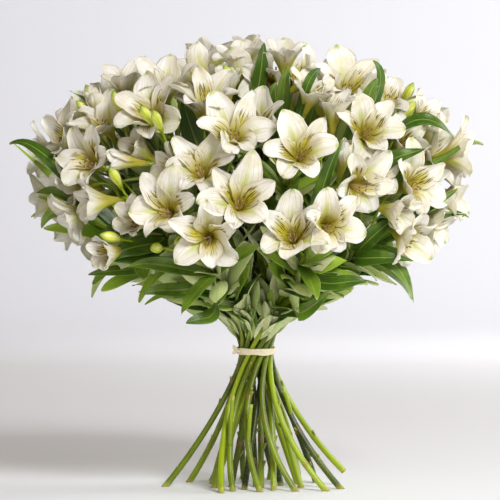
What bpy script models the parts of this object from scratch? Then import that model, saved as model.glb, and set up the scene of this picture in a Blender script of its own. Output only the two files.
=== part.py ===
# A hand-tied bouquet of white alstroemeria that stands on its own cut stems.
# Lengths below are in millimetres; meshes are made in metres. +Z is up, the viewer stands at -Y.
# The origin is on the surface that the bouquet stands on, under the middle of the tie.
import math

import bmesh
import bpy
import numpy as np
from mathutils import Matrix, Vector
from mathutils.bvhtree import BVHTree

MM = 0.001

# Colours (linear) and roughness
LEAF_GREEN = (0.10, 0.22, 0.03)
LEAF_ROUGHNESS = 0.45
PETAL_CREAM = (0.86, 0.82, 0.66)
PETAL_ROUGHNESS = 0.5
BAND_CREAM = (0.80, 0.72, 0.50)
BAND_ROUGHNESS = 0.6

# The tie and the waist that it holds
TIE_HEIGHT = 136.0
TIE_WIDTH = 6.5
TIE_THICKNESS = 0.9
TIE_TILT = math.radians(3.0)
TIE_SIDES = 40
KNOT_ANGLE = 205.0
KNOT_TAIL_WIDTH = 3.6

# Stalks pass the waist in three rings: number, radius of the ring, lean of the stalks
STALK_RADIUS = 2.5
STALK_SIDES = 6
STALK_BEND = 0.34  # how far a stalk keeps its slope at the waist and at its head, as a share of its span
# Where the rings of a stalk are, below and above the waist, and its radius there as a share
STALK_LOW = (0.0, 0.5)
STALK_HIGH = (0.0, 0.13, 0.38, 0.68, 1.0)
STALK_SWELL = (1.24, 1.14, 1.0, 1.0, 0.98, 0.94, 0.9)
RINGS = ((4, 4.0, math.radians(10.0)), (8, 9.3, math.radians(20.0)), (14, 14.6, math.radians(28.0)))
RING_TURNS = (math.radians(-42.0), math.radians(-44.0), math.radians(-47.0))
WAIST_GAP = 1.15

# Where each stalk is cut: across, away from the viewer, height. One row for each ring, in the
# order in which its stalks pass round the waist. The first ends on the origin.
FEET = (
    ((0, 0, 0), (-25, -7, 0), (5, -22, 0), (25, 5, 0)),
    (
        (20, 44, 0),
        (-12, 46, 0),
        (-44, 26, 0),
        (-42, -20, 0),
        (-12, -38, 0),
        (17, -46, 0),
        (45, -15, 0),
        (42, 25, 0),
    ),
    (
        (-14, 84, 0),
        (-45, 66, 0),
        (-68, 46, 0),
        (-91, -4, 0),
        (-34, -74, 0),
        (-23, -56, 0),
        (4, -64, 0),
        (39, -58, 0),
        (69, -54, 0),
        (84, -30, 0),
        (88, 2, 15),
        (61, 45, 0),
        (44, 66, 0),
        (14, 78, 0),
    ),
)

# The dome of flowers
DOME_MIDDLE = np.array([-8.0, 0.0, 235.0])
DOME_HALF_WIDTH = 188.0
DOME_HALF_DEPTH = 165.0
DOME_HALF_HEIGHT = 205.0
NEAREST_SEAM = 27.0
RING_DEPTHS = (0.5, 1.0, 1.0)
HEAD_REACH = 66.0
PIECE_GAP = 0.3

# The short swollen top of a stalk that its flower stalks grow from: height and radius of its rings
HUB_RINGS = ((PIECE_GAP, 2.5), (2.2, 3.1), (5.0, 2.4))
PEDICEL_ROOT = 1.5  # how deep in it a flower stalk starts

# A flower stalk: its radius, its bend as a share of its span, and how much it leans to the hub's axis
PEDICEL_RADIUS = 1.2
PEDICEL_BEND = 0.35
PEDICEL_LEAN = 0.6

# A floret, along its own axis: ovary, tube, throat, rim
OVARY_RADIUS = 2.7
OVARY_WIDEST = 6.0
THROAT_AT = 20.0
RIM_AT = 36.0
RIM_RADIUS = 31.0
CLOSED_RIM_RISE = 8.0  # a floret that is hardly open is longer and narrower
CLOSED_RIM_RADIUS = 7.0
CUP_AT = 0.66  # these four are shares of the height and radius of the rim
CUP_RADIUS = 0.42
DIP_AT = 0.86  # the dip in the rim between two petals
DIP_RADIUS = 0.72
CUP_FLOOR = 3.0  # how far the hollow goes down below the ring of the cup

# A bud
BUD_LENGTH = 26.0
BUD_RADIUS = 5.0
BUD_WIDEST = 0.58
BUD_MIDDLE = 0.5

# A leaf: widths at its base and middle, as shares, and thicknesses there
LEAF_WIDTHS = (0.16, 1.0)
LEAF_THICKNESSES = (1.65, 1.3)
LEAF_CLEARANCE = 0.5
LEAF_ROOM_FROM = 0.2  # a leaf may touch its own stalk up to this share of its length
LEAF_ABOVE_TIE = 6.0
BACK_LEAF_REACH = 0.92
SHOWN_LEAF_RISE = 8.0

# How a leaf that has no room is moved at its tip, in the order tried: down, away from the viewer
TIP_SHIFTS = (
    (0, 0),
    (4, 0),
    (-4, 0),
    (0, -8),
    (6, -8),
    (-6, -8),
    (0, 9),
    (8, 9),
    (0, -20),
    (0, 22),
    (8, 26),
    (-6, 34),
)

# Every head of the front half. Each row is a floret or a bud: across and up (as seen from the
# front), the way it faces (turn: 0 to the viewer, 90 to the right; lift above level), how far it
# is open (0 is a bud, 1 is full) and how far it stands out of the dome.
HEADS = {
    "crown_left": (
        0,
        (
            (-12, 402, 165, 50, 0.9, -6),
            (-16, 418, -30, 75, 0.7, 0),
            (-53, 404, -140, 40, 0.8, 0),
            (-28, 388, 0, 75, 0.35, 0),
            (-24, 400, -60, 50, 0.0, 8),
        ),
    ),
    "crown_right": (
        0,
        (
            (28, 417, 10, 80, 0.55, 0),
            (14, 396, -28, 4, 0.6, 4),
            (45, 404, 70, 35, 0.6, -4),
        ),
    ),
    "upper_far_left": (
        1,
        (
            (-98, 364, -20, 35, 1.0, 0),
            (-88, 392, -10, 55, 1.0, 0),
            (-94, 352, -50, 50, 0.0, 22),
            (-84, 346, -35, 55, 0.0, 24),
            (-104, 386, -20, 64, 0.4, -16),
        ),
    ),
    "upper_left": (
        1,
        (
            (-52, 312, -10, 35, 1.0, 0),
            (-21, 342, 5, 45, 1.0, 4),
            (-46, 376, -5, 55, 0.9, 0),
            (-83, 318, -60, 5, 0.8, -16),
            (-57, 385, -10, 62, 0.6, -18),
        ),
    ),
    "upper_right": (
        1,
        (
            (38, 322, 5, 22, 1.0, 12),
            (74, 362, 10, 70, 0.45, 0),
            (50, 380, 40, 60, 0.6, 0),
            (4, 366, -15, 38, 0.7, -16),
        ),
    ),
    "upper_far_right": (
        1,
        (
            (87, 391, 15, 50, 1.0, 0),
            (106, 350, 15, 20, 1.0, 0),
            (82, 318, 20, 60, 0.1, 0),
            (72, 391, 8, 62, 0.6, -20),
        ),
    ),
    "shoulder_left": (
        2,
        (
            (-146, 357, -40, 50, 1.0, 0),
            (-152, 372, -60, 60, 0.2, 0),
            (-127, 390, -30, 72, 0.5, 0),
            (-170, 376, -70, 45, 0.0, 0),
            (-127, 371, -40, 62, 0.0, 14),
        ),
    ),
    "side_left": (
        2,
        (
            (-184, 346, -66, 25, 1.0, -2),
            (-174, 298, -85, -12, 0.8, 0),
            (-170, 272, -80, -32, 0.8, 0),
            (-138, 250, -60, 10, 0.0, 0),
            (-142, 236, -50, -8, 0.4, -8),
        ),
    ),
    "low_far_left": (
        2,
        (
            (-152, 318, -45, 18, 1.0, 8),
            (-118, 322, -70, 5, 0.2, 0),
            (-118, 340, -60, 30, 0.5, -18),
            (-144, 285, -75, -5, 0.5, 0),
            (-128, 303, -40, 50, 0.0, 10),
            (-122, 268, -45, 12, 0.5, -20),
        ),
    ),
    "low_left": (
        2,
        (
            (-84, 275, -25, 15, 1.0, 0),
            (-44, 250, -10, -5, 1.0, 6),
            (-16, 280, 0, 25, 1.0, 6),
            (-94, 240, -20, 0, 0.0, 0),
            (-72, 246, -10, 5, 0.0, 0),
        ),
    ),
    "low_right": (
        2,
        (
            (35, 250, -5, 22, 1.0, 0),
            (64, 260, 20, 0, 1.0, 8),
            (96, 300, 35, -5, 1.0, 0),
        ),
    ),
    "low_far_right": (
        2,
        (
            (148, 299, 45, 15, 1.0, 0),
            (126, 276, 55, -15, 0.5, 0),
            (142, 250, 55, -28, 1.0, 0),
            (186, 286, 80, 0, 0.7, 0),
            (170, 266, 70, -15, 0.8, -6),
            (120, 312, 35, 15, 0.5, -18),
        ),
    ),
    "side_right": (
        2,
        (
            (128, 380, 45, 55, 1.0, 0),
            (140, 338, 50, 30, 0.7, 0),
            (168, 322, 60, 15, 1.0, 0),
            (188, 330, 85, 10, 0.8, 0),
            (150, 392, 45, 52, 0.0, 0),
            (164, 366, 62, 32, 0.7, -8),
        ),
    ),
}

# Leaves that show in the outline: head they belong to, tip (across, away from the viewer, up),
# share of the way up the stalk, arch, width
SHOWN_LEAVES = (
    ("side_left", (-244, 2, 344), 0.90, -4, 16),
    ("side_left", (-217, -12, 294), 0.95, 3, 13),
    ("side_left", (-211, -22, 258), 0.93, 12, 17),
    ("low_far_left", (-162, -60, 232), 0.92, 12, 19),
    ("low_far_left", (-156, -75, 214), 0.84, 4, 16),
    ("low_far_left", (-114, -80, 186), 0.78, 8, 15),
    ("low_left", (-108, -95, 184), 0.80, 6, 19),
    ("side_right", (193, -10, 345), 0.94, 26, 15),
    ("side_right", (163, -70, 335), 0.97, 4, 14),
    ("side_right", (207, 0, 344), 0.97, 6, 12),
    ("low_far_right", (210, -20, 272), 0.97, 4, 12),
    ("low_far_right", (153, -50, 188), 0.84, 26, 19),
    ("low_far_right", (152, -75, 228), 0.90, 10, 19),
    ("low_right", (107, -88, 204), 0.8, 12, 14),
    ("low_right", (80, -60, 189), 0.45, -14, 17),
    ("crown_left", (8, -34, 439), 0.97, 3, 16),
    ("crown_right", (16, -40, 424), 0.96, 3, 14),
    ("upper_right", (27, -66, 414), 0.97, 3, 13),
    ("upper_far_right", (114, -70, 421), 0.97, 8, 14),
    ("upper_far_right", (122, -72, 398), 0.96, 4, 16),
)

# Leaves round each stalk, from the top down: share of the way up, how many on a stalk of each
# ring, length, width, and how far a leaf leans from its stalk, in radians
WHORLS = (
    (0.93, (3, 3, 3), 66.0, 16.0, 0.95),
    (0.85, (0, 0, 2), 60.0, 18.0, 0.8),
    (0.76, (0, 1, 2), 64.0, 19.0, 0.65),
    (0.67, (0, 0, 2), 58.0, 19.0, 0.5),
    (0.58, (0, 0, 2), 60.0, 20.0, 0.45),
    (0.50, (0, 0, 1), 60.0, 19.0, 0.4),
    (0.40, (0, 0, 2), 56.0, 18.0, 0.35),
    (0.29, (0, 0, 1), 58.0, 18.0, 0.3),
)
TIP_BEND = 0.45  # how much further a leaf leans at its tip, in radians
WHORL_TURN = 2.0  # radians from one stalk's first leaf to the next one's


def unit(vector):
    return vector / np.linalg.norm(vector)


def facing(turn, lift):
    # Unit vector of a floret's axis, from the two angles in degrees
    a = math.radians(turn)
    b = math.radians(lift)
    return np.array([math.sin(a) * math.cos(b), -math.cos(a) * math.cos(b), math.sin(b)])


def dome_place(across, up, out, ring):
    # The point of the front of the dome at this place in the front view, moved out along the dome
    flat = np.array([across - DOME_MIDDLE[0], 0.0, up - DOME_MIDDLE[2]])
    share = 1.0 - (flat[0] / DOME_HALF_WIDTH) ** 2 - (flat[2] / DOME_HALF_HEIGHT) ** 2
    depth = DOME_HALF_DEPTH * RING_DEPTHS[ring] * math.sqrt(max(share, 0.0))
    depth = max(NEAREST_SEAM, depth)
    point = np.array([across, -depth, up])
    return point + out * unit(point - DOME_MIDDLE)


def bezier(points, t):
    # Points of a Bezier curve of any degree at the shares t
    t = np.asarray(t, float)[:, None]
    n = len(points) - 1
    return sum(math.comb(n, i) * t**i * (1 - t) ** (n - i) * points[i] for i in range(n + 1))


def bezier_slope(points, t):
    # Unit tangents of the same curve
    steps = [(points[i + 1] - points[i]) for i in range(len(points) - 1)]
    slope = bezier(steps, t)
    return slope / np.linalg.norm(slope, axis=1)[:, None]


def carried_frames(slopes, first):
    # Side and normal at every point of a path, carried along it without twist
    sides = [unit(first - slopes[0] * np.dot(first, slopes[0]))]
    for k in range(1, len(slopes)):
        sides.append(unit(sides[-1] - slopes[k] * np.dot(sides[-1], slopes[k])))
    sides = np.array(sides)
    return sides, np.cross(slopes, sides)


def turned_about_axis(point):
    # The back half is the front half turned half way round the dome's upright axis
    return np.array([2 * DOME_MIDDLE[0] - point[0], 2 * DOME_MIDDLE[1] - point[1], point[2]])


def plan_heads():
    # Every head of both halves: florets as (throat, axis, open, roll), and the top of its stalk
    heads = []
    for half in ("front", "back"):
        for number, (name, (ring, rows)) in enumerate(HEADS.items()):
            florets = []
            for k, (across, up, turn, lift, open_share, out) in enumerate(rows):
                throat = dome_place(across, up, out, ring)
                axis = facing(turn, lift)
                if half == "back":
                    throat = turned_about_axis(throat)
                    axis = axis * np.array([-1.0, -1.0, 1.0])
                roll = math.radians((number * 47 + k * 83 + (half == "back") * 29) % 120)
                florets.append((throat, axis, open_share, roll))
            middle = np.mean([f[0] for f in florets], axis=0)
            rise = unit(middle - np.array([0.0, 0.0, TIE_HEIGHT]))
            heads.append(
                {
                    "name": name,
                    "half": half,
                    "ring": ring,
                    "florets": florets,
                    "hub": middle - HEAD_REACH * rise,
                    "rise": rise,
                }
            )
    return heads


def plan_stalks(heads):
    # Stalks spiral: each ring leans one way round, so the foot lags and the head leads
    for ring, (count, radius, lean) in enumerate(RINGS):
        own = [h for h in heads if h["ring"] == ring]
        own.sort(key=lambda h: math.atan2(h["hub"][1], h["hub"][0]))
        for slot, head in enumerate(own):
            angle = -math.pi + 2 * math.pi * (slot + 0.5) / count + RING_TURNS[ring]
            outward = np.array([math.cos(angle), math.sin(angle), 0.0])
            around = np.array([-math.sin(angle), math.cos(angle), 0.0])
            waist = radius * outward + np.array([0.0, 0.0, TIE_HEIGHT])
            straight = radius * outward - TIE_HEIGHT * math.tan(lean) * around
            foot = np.array(FEET[ring][slot], float)
            head["lower"] = (foot, (straight + waist) / 2, waist)
            waist_slope = unit(waist - straight)
            reach = np.linalg.norm(head["hub"] - waist) * STALK_BEND
            top = head["hub"]
            head["upper"] = (
                waist,
                waist + waist_slope * reach,
                top - head["rise"] * reach,
                top,
            )
            head["slot"] = slot
    heads.sort(key=lambda h: (h["ring"], h["slot"]))


def stalk_path(head):
    # Points and tangents from the cut foot, through the waist, to the top of the stalk
    lower, upper = head["lower"], head["upper"]
    points = np.vstack([bezier(lower, STALK_LOW), bezier(upper, STALK_HIGH)])
    slopes = np.vstack([bezier_slope(lower, STALK_LOW), bezier_slope(upper, STALK_HIGH)])
    return points, slopes


def ring_mesh(rings, close_tip=None):
    # Joins equal rings of points by quads, and closes both ends
    sides = len(rings[0])
    verts = [tuple(p) for ring in rings for p in ring]
    faces = []
    for r in range(len(rings) - 1):
        for k in range(sides):
            n = (k + 1) % sides
            a, b = r * sides, (r + 1) * sides
            faces.append((a + k, a + n, b + n, b + k))
    faces.append(tuple(reversed(range(sides))))
    last = (len(rings) - 1) * sides
    if close_tip is None:
        faces.append(tuple(range(last, last + sides)))
    else:
        verts.append(tuple(close_tip))
        tip = len(verts) - 1
        faces += [(last + k, last + (k + 1) % sides, tip) for k in range(sides)]
    return verts, faces


def circle_points(centre, side, normal, radius, sides):
    a = np.arange(sides) * 2 * math.pi / sides
    return centre + radius * (np.cos(a)[:, None] * side + np.sin(a)[:, None] * normal)


def stalk_solid(head):
    points, slopes = stalk_path(head)
    sides, normals = carried_frames(slopes, np.array([1.0, 0.0, 0.0]))
    rings = [
        circle_points(points[k], sides[k], normals[k], STALK_RADIUS * STALK_SWELL[k], STALK_SIDES)
        for k in range(len(points))
    ]
    if points[0][2] == 0.0:
        # The cut end is level, so that the stalk stands on it
        drop = -rings[0][:, 2] / slopes[0][2]
        rings[0] = rings[0] + drop[:, None] * slopes[0]
        rings[0][:, 2] = 0.0
    return ring_mesh(rings)


def floret_profile(open_share):
    # Rim radius and height of a floret that is this far open
    radius = CLOSED_RIM_RADIUS + (RIM_RADIUS - CLOSED_RIM_RADIUS) * open_share
    height = RIM_AT + CLOSED_RIM_RISE * (1.0 - open_share)
    return radius, height


def widened(faces, narrow, wide, count):
    # Joins a ring of count points to a ring of twice as many, starting at their numbers
    for k in range(count):
        n = (k + 1) % count
        near, between, far = wide + 2 * k, wide + 2 * k + 1, wide + 2 * n
        faces.append((narrow + k, between, near))
        faces.append((narrow + k, narrow + n, between))
        faces.append((narrow + n, far, between))


def floret_solid(hub, rise, floret):
    throat, axis, open_share, roll = floret
    length = THROAT_AT if open_share > 0 else BUD_LENGTH * BUD_MIDDLE
    ovary = throat - axis * length
    start = hub + rise * PEDICEL_ROOT
    reach = np.linalg.norm(ovary - start) * PEDICEL_BEND
    out = unit(unit(ovary - start) + PEDICEL_LEAN * rise)
    control = (start, start + out * reach, ovary - axis * reach, ovary)
    t = np.linspace(0.0, 1.0, 3)
    points = bezier(control, t)
    slopes = bezier_slope(control, t)
    guide = np.array([0.0, 0.0, 1.0]) if abs(axis[2]) < 0.9 else np.array([1.0, 0.0, 0.0])
    side = unit(np.cross(guide, axis))
    up = np.cross(axis, side)
    first = math.cos(roll) * side + math.sin(roll) * up
    back_sides, back_normals = carried_frames(slopes[::-1], first)
    sides, normals = back_sides[::-1], back_normals[::-1]
    rings = [
        circle_points(points[k], sides[k], normals[k], PEDICEL_RADIUS, 3) for k in range(len(t))
    ]
    verts, faces = ring_mesh(rings)
    faces.pop()
    side = sides[-1]
    up = normals[-1]

    def ring(at, radius, count):
        start = len(verts)
        verts.extend(tuple(p) for p in circle_points(ovary + axis * at, side, up, radius, count))
        return start

    def band(lower, upper):
        for k in range(6):
            n = (k + 1) % 6
            faces.append((lower + k, lower + n, upper + n, upper + k))

    neck = len(verts) - 3
    belly = ring(OVARY_WIDEST, OVARY_RADIUS, 6)
    widened(faces, neck, belly, 3)
    if open_share <= 0:
        bulge = ring(BUD_WIDEST * BUD_LENGTH, BUD_RADIUS, 6)
        band(belly, bulge)
        verts.append(tuple(ovary + axis * BUD_LENGTH))
        tip = len(verts) - 1
        faces += [(bulge + k, bulge + (k + 1) % 6, tip) for k in range(6)]
        return verts, faces
    rim_radius, rim_at = floret_profile(open_share)
    cup = ring(CUP_AT * rim_at, CUP_RADIUS * rim_radius, 6)
    band(belly, cup)
    # The rim has six points with a dip between each two
    rim = ring(rim_at, rim_radius, 12)
    dips = circle_points(ovary + axis * (DIP_AT * rim_at), side, up, DIP_RADIUS * rim_radius, 12)
    for k in range(1, 12, 2):
        verts[rim + k] = tuple(dips[k])
    widened(faces, cup, rim, 6)
    verts.append(tuple(ovary + axis * (CUP_AT * rim_at - CUP_FLOOR)))
    centre = len(verts) - 1
    faces += [(rim + k, rim + (k + 1) % 12, centre) for k in range(12)]
    return verts, faces


def hub_solid(hub, rise):
    side = unit(np.cross(rise, np.array([0.3, 0.9, 0.1])))
    normal = np.cross(rise, side)
    rings = [
        circle_points(hub + rise * at, side, normal, radius, 6)
        for at, radius in HUB_RINGS
    ]
    return ring_mesh(rings)


def leaf_solid(control, width, across, grow=0.0):
    # A thin lens along a curve: its edges are sharp and it ends in a point
    shares = (0.0, 0.5)
    widths = np.array(LEAF_WIDTHS) * width + grow
    thick = np.array(LEAF_THICKNESSES) + grow
    points = bezier(control, shares)
    slopes = bezier_slope(control, shares)
    sides, normals = carried_frames(slopes, across)
    rings = []
    for k in range(len(shares)):
        w = sides[k] * widths[k] / 2
        t = normals[k] * thick[k] / 2
        rings.append(np.array([points[k] + w, points[k] + t, points[k] - w, points[k] - t]))
    return ring_mesh(rings, np.asarray(control[-1]))


def stalk_point(head, share):
    # Point and tangent at this share of the way from the tie to the top of the stalk
    point = bezier(head["upper"], [share])[0]
    slope = bezier_slope(head["upper"], [share])[0]
    return point, slope


def shown_leaf_choices(head, tip, share, arch, width):
    # A leaf to a given tip, and small changes of it, in the order in which they are tried
    for shift in (0.0, -0.04, 0.03, -0.09, -0.15, -0.22):
        base, slope = stalk_point(head, share + shift)
        for lower, away in TIP_SHIFTS:
            end = tip + np.array([0.0, away, -lower])
            middle = (base + end) / 2 + np.array([0.0, 0.0, arch])
            middle = middle + slope * SHOWN_LEAF_RISE
            control = (base, middle, end)
            across = np.cross(unit(end - base), np.array([0.0, -0.55, 0.83]))
            yield control, width, across


def whorl_leaf_choices(head, number, count, share, length, width, lean):
    # Leaves that spread round the stalk, rising and then bending over
    base, slope = stalk_point(head, share)
    outward = unit(np.array([base[0], base[1], 0.0]) + 1e-6)
    side = unit(np.cross(slope, outward))
    front = unit(np.cross(side, slope))
    start = 2 * math.pi * number / count + WHORL_TURN * head["slot"]
    for size in (1.0, 0.84, 0.68, 0.54):
        for turn in (0.0, 0.35, -0.35, 0.7, -0.7, 1.05, -1.05):
            for more in (1.0, 0.65, 1.3, 0.4):
                a = start + turn
                away = math.cos(a) * side + math.sin(a) * front
                spread = lean * more
                rise = math.cos(spread) * slope + math.sin(spread) * away
                over = math.cos(spread + TIP_BEND) * slope + math.sin(spread + TIP_BEND) * away
                reach = length * size
                middle = base + rise * reach * 0.5
                end = middle + unit(over) * reach * 0.5
                across = np.cross(away, slope)
                yield (base, middle, end), width * (0.6 + 0.4 * size), across


def tree_of(solid):
    verts, faces = solid
    return BVHTree.FromPolygons([Vector(v) for v in verts], faces, epsilon=0.0)


def reach_of(solid):
    verts = np.array(solid[0])
    return verts.min(axis=0), verts.max(axis=0)


def boxes_meet(a, b):
    return bool(np.all(a[0] <= b[1]) and np.all(b[0] <= a[1]))


class Taken:
    # The space already taken, as solids with their owner
    def __init__(self):
        self.items = []

    def add(self, owner, solid):
        self.items.append((owner, reach_of(solid), tree_of(solid)))

    def clear_of(self, solid, skip=()):
        box = reach_of(solid)
        tree = None
        for owner, other, other_tree in self.items:
            if owner in skip or not boxes_meet(box, other):
                continue
            tree = tree or tree_of(solid)
            if tree.overlap(other_tree):
                return False
        return True


def outer_part(control, share):
    # The same curve from this share of it onwards
    a, b, c = (np.asarray(p, float) for p in control)
    return ((1 - share) ** 2 * a + 2 * share * (1 - share) * b + share**2 * c,
            (1 - share) * b + share * c, c)


def place_leaves(heads):
    taken = Taken()
    for head in heads:
        taken.add(("stalk", head["key"]), stalk_solid(head))
        for floret in head["florets"]:
            taken.add(("head", head["key"]), floret_solid(head["hub"], head["rise"], floret))
        taken.add(("head", head["key"]), hub_solid(head["hub"], head["rise"]))
    taken.add(("tie", 0), tie_ring(grow=0.4))
    wanted = []
    for name, tip, share, arch, width in SHOWN_LEAVES:
        for head in heads:
            if head["name"] != name:
                continue
            place = np.array(tip, float)
            if head["half"] == "back":
                place = turned_about_axis(place)
                place[0] = DOME_MIDDLE[0] + BACK_LEAF_REACH * (place[0] - DOME_MIDDLE[0])
            wanted.append((head, list(shown_leaf_choices(head, place, share, arch, width))))
    for level, (share, counts, length, width, lean) in enumerate(WHORLS):
        for head in heads:
            count = counts[head["ring"]]
            for number in range(count):
                reach = length * (0.85 + 0.3 * ((head["slot"] * 0.37 + number * 0.61) % 1.0))
                choices = list(
                    whorl_leaf_choices(head, number + 0.5 * level, count, share, reach, width, lean)
                )
                wanted.append((head, choices))
    for head in heads:
        head["leaves"] = []
    missing = 0
    for head, choices in wanted:
        for control, width, across in choices:
            wide = leaf_solid(control, width, across, LEAF_CLEARANCE)
            free = outer_part(control, LEAF_ROOM_FROM)
            outer = leaf_solid(free, width, across, LEAF_CLEARANCE)
            own = ("stalk", head["key"])
            if above_tie(wide) and taken.clear_of(wide, (own, ("leaf", head["key"]))):
                if taken.clear_of(outer):
                    head["leaves"].append((control, width, across))
                    taken.add(("leaf", head["key"]), leaf_solid(control, width, across))
                    break
        else:
            missing += 1
    print("leaves placed", sum(len(h["leaves"]) for h in heads), "left out", missing)


def above_tie(solid):
    return reach_of(solid)[0][2] > TIE_HEIGHT + LEAF_ABOVE_TIE


def tie_point(angle, radius, height):
    # A point of the band, which hangs a little lower at the front
    x = radius * math.cos(angle)
    y = radius * math.sin(angle)
    return (x, y, TIE_HEIGHT + height + y * math.tan(TIE_TILT))


def tie_ring(grow=0.0):
    inner = RINGS[2][1] + STALK_RADIUS + WAIST_GAP - grow
    outer = inner + TIE_THICKNESS + 2 * grow
    half = TIE_WIDTH / 2 + grow
    verts = []
    for k in range(TIE_SIDES):
        a = 2 * math.pi * k / TIE_SIDES
        verts.append(tie_point(a, inner, -half))
        verts.append(tie_point(a, outer, -half))
        verts.append(tie_point(a, outer, half))
        verts.append(tie_point(a, inner, half))
    faces = []
    for k in range(TIE_SIDES):
        n = (k + 1) % TIE_SIDES
        for c in range(4):
            d = (c + 1) % 4
            faces.append((4 * k + c, 4 * n + c, 4 * n + d, 4 * k + d))
    return verts, faces


def knot_solids():
    # The ends of the band are twisted into a small knot at its left, with two short tails
    angle = math.radians(KNOT_ANGLE)
    radius = RINGS[2][1] + STALK_RADIUS + WAIST_GAP + TIE_THICKNESS
    out = np.array([math.cos(angle), math.sin(angle), 0.0])
    around = np.array([-math.sin(angle), math.cos(angle), 0.0])
    up = np.array([0.0, 0.0, 1.0])
    middle = np.array(tie_point(angle, radius + 0.9, 0.4))
    rings = [
        circle_points(middle + around * at, up, out, size, 6)
        for at, size in ((-3.2, 0.7), (-1.5, 1.5), (1.5, 1.5), (3.2, 0.7))
    ]
    solids = [ring_mesh(rings)]
    for rise, reach in ((0.9, 8.0), (-0.35, 6.5)):
        end = middle + reach * unit(out * 0.5 - around * 0.55 + up * rise)
        bend = (middle + end) / 2 + out * 1.2
        solids.append(leaf_solid((middle, bend, end), KNOT_TAIL_WIDTH, up))
    return solids


def new_material(name, colour, roughness):
    material = bpy.data.materials.new(name)
    material.use_nodes = True
    shader = material.node_tree.nodes["Principled BSDF"]
    shader.inputs["Base Color"].default_value = (*colour, 1.0)
    shader.inputs["Roughness"].default_value = roughness
    shader.inputs["Metallic"].default_value = 0.0
    material.diffuse_color = (*colour, 1.0)
    return material


def new_object(name, solid, material=None):
    verts, faces = solid
    mesh = bpy.data.meshes.new(name)
    mesh.from_pydata([tuple(c * MM for c in v) for v in verts], [], faces)
    flat_faces(mesh)
    thing = bpy.data.objects.new(name, mesh)
    bpy.context.scene.collection.objects.link(thing)
    if material:
        mesh.materials.append(material)
    return thing


def united(name, solids, origin, colour, roughness):
    # One body with its own material, from solids that run into each other
    material = new_material(name, colour, roughness)
    thing = new_object(name, solids[0], material)
    helpers = []
    for k, solid in enumerate(solids[1:]):
        helper = new_object(f"{name}_grown_{k:02d}", solid, material)
        helpers.append(helper)
        union = thing.modifiers.new(f"grown_{k:02d}", "BOOLEAN")
        union.operation = "UNION"
        union.solver = "EXACT"
        union.object = helper
    bpy.context.view_layer.update()
    grown = thing.evaluated_get(bpy.context.evaluated_depsgraph_get())
    mesh = bpy.data.meshes.new_from_object(grown)
    thing.modifiers.clear()
    old = thing.data
    thing.data = mesh
    bpy.data.meshes.remove(old)
    mesh.name = name
    for helper in helpers:
        spare = helper.data
        bpy.data.objects.remove(helper)
        bpy.data.meshes.remove(spare)
    mesh.shade_smooth()
    mesh.set_sharp_from_angle(angle=math.radians(50.0))
    # The object's own origin goes where the piece grows from
    place = Vector([c * MM for c in origin])
    mesh.transform(Matrix.Translation(-place))
    thing.location = place


def flat_faces(mesh):
    # Triangles only, so that every face is flat where two pieces are joined
    work = bmesh.new()
    work.from_mesh(mesh)
    bmesh.ops.triangulate(work, faces=work.faces)
    work.to_mesh(mesh)
    work.free()


def build():
    for thing in list(bpy.data.objects):
        bpy.data.objects.remove(thing)
    heads = plan_heads()
    plan_stalks(heads)
    for number, head in enumerate(heads):
        head["key"] = number + 1
    place_leaves(heads)
    for head in heads:
        key = f"{head['key']:02d}"
        leaves = [leaf_solid(*leaf) for leaf in head["leaves"]]
        solids = [stalk_solid(head)] + leaves
        united(f"leafy_stalk_{key}", solids, head["lower"][0], LEAF_GREEN, LEAF_ROUGHNESS)
        hub = hub_solid(head["hub"], head["rise"])
        florets = [floret_solid(head["hub"], head["rise"], f) for f in head["florets"]]
        united(f"flower_head_{key}", [hub] + florets, head["hub"], PETAL_CREAM, PETAL_ROUGHNESS)
    solids = [tie_ring()] + knot_solids()
    united("tie_band", solids, (0.0, 0.0, TIE_HEIGHT), BAND_CREAM, BAND_ROUGHNESS)


build()
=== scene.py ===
# A hand-tied bouquet of white alstroemeria, standing on its cut stems.
# +Z is up and the viewer stands at -Y. Lengths are in mm until a mesh is made, which is in metres.
import math

import bpy
import numpy as np
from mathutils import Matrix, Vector


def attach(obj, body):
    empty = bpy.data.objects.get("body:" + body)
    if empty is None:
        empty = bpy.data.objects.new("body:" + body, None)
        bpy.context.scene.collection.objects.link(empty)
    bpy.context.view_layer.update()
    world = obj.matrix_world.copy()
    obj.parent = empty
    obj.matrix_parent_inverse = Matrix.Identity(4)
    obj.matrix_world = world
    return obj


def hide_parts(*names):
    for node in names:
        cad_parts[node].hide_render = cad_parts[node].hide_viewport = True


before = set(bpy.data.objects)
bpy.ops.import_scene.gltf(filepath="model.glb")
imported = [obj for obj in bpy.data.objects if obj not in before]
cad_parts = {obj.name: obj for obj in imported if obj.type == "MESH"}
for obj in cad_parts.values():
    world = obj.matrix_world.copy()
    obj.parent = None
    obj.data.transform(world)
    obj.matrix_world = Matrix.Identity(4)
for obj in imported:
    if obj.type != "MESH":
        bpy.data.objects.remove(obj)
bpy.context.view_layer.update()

print("packed model loaded")

metresPerMm = 0.001
randomSeed = 418
anyTurn = (0.0, 6.28)  # range of a random angle
upward = np.array([0.0, 0.0, 1.0])
rightward = np.array([1.0, 0.0, 0.0])


# small helpers
def unit(vectors):
    # every vector divided by its own length
    return vectors / np.linalg.norm(vectors, axis=-1, keepdims=True)


def smooth(low, high, value):
    # 0 below low, 1 above high, and the cubic 3x^2 - 2x^3 between
    x = np.clip((value - low) / (high - low), 0.0, 1.0)
    return x * x * (3.0 - 2.0 * x)


def stacked(*parts):
    # one array of vectors from parts that are numbers or arrays and broadcast to one shape
    return np.stack(np.broadcast_arrays(*parts), axis=-1)


def evenTurns(count):
    # angles that share out a circle evenly
    return 2 * math.pi * np.arange(count) / count


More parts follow.
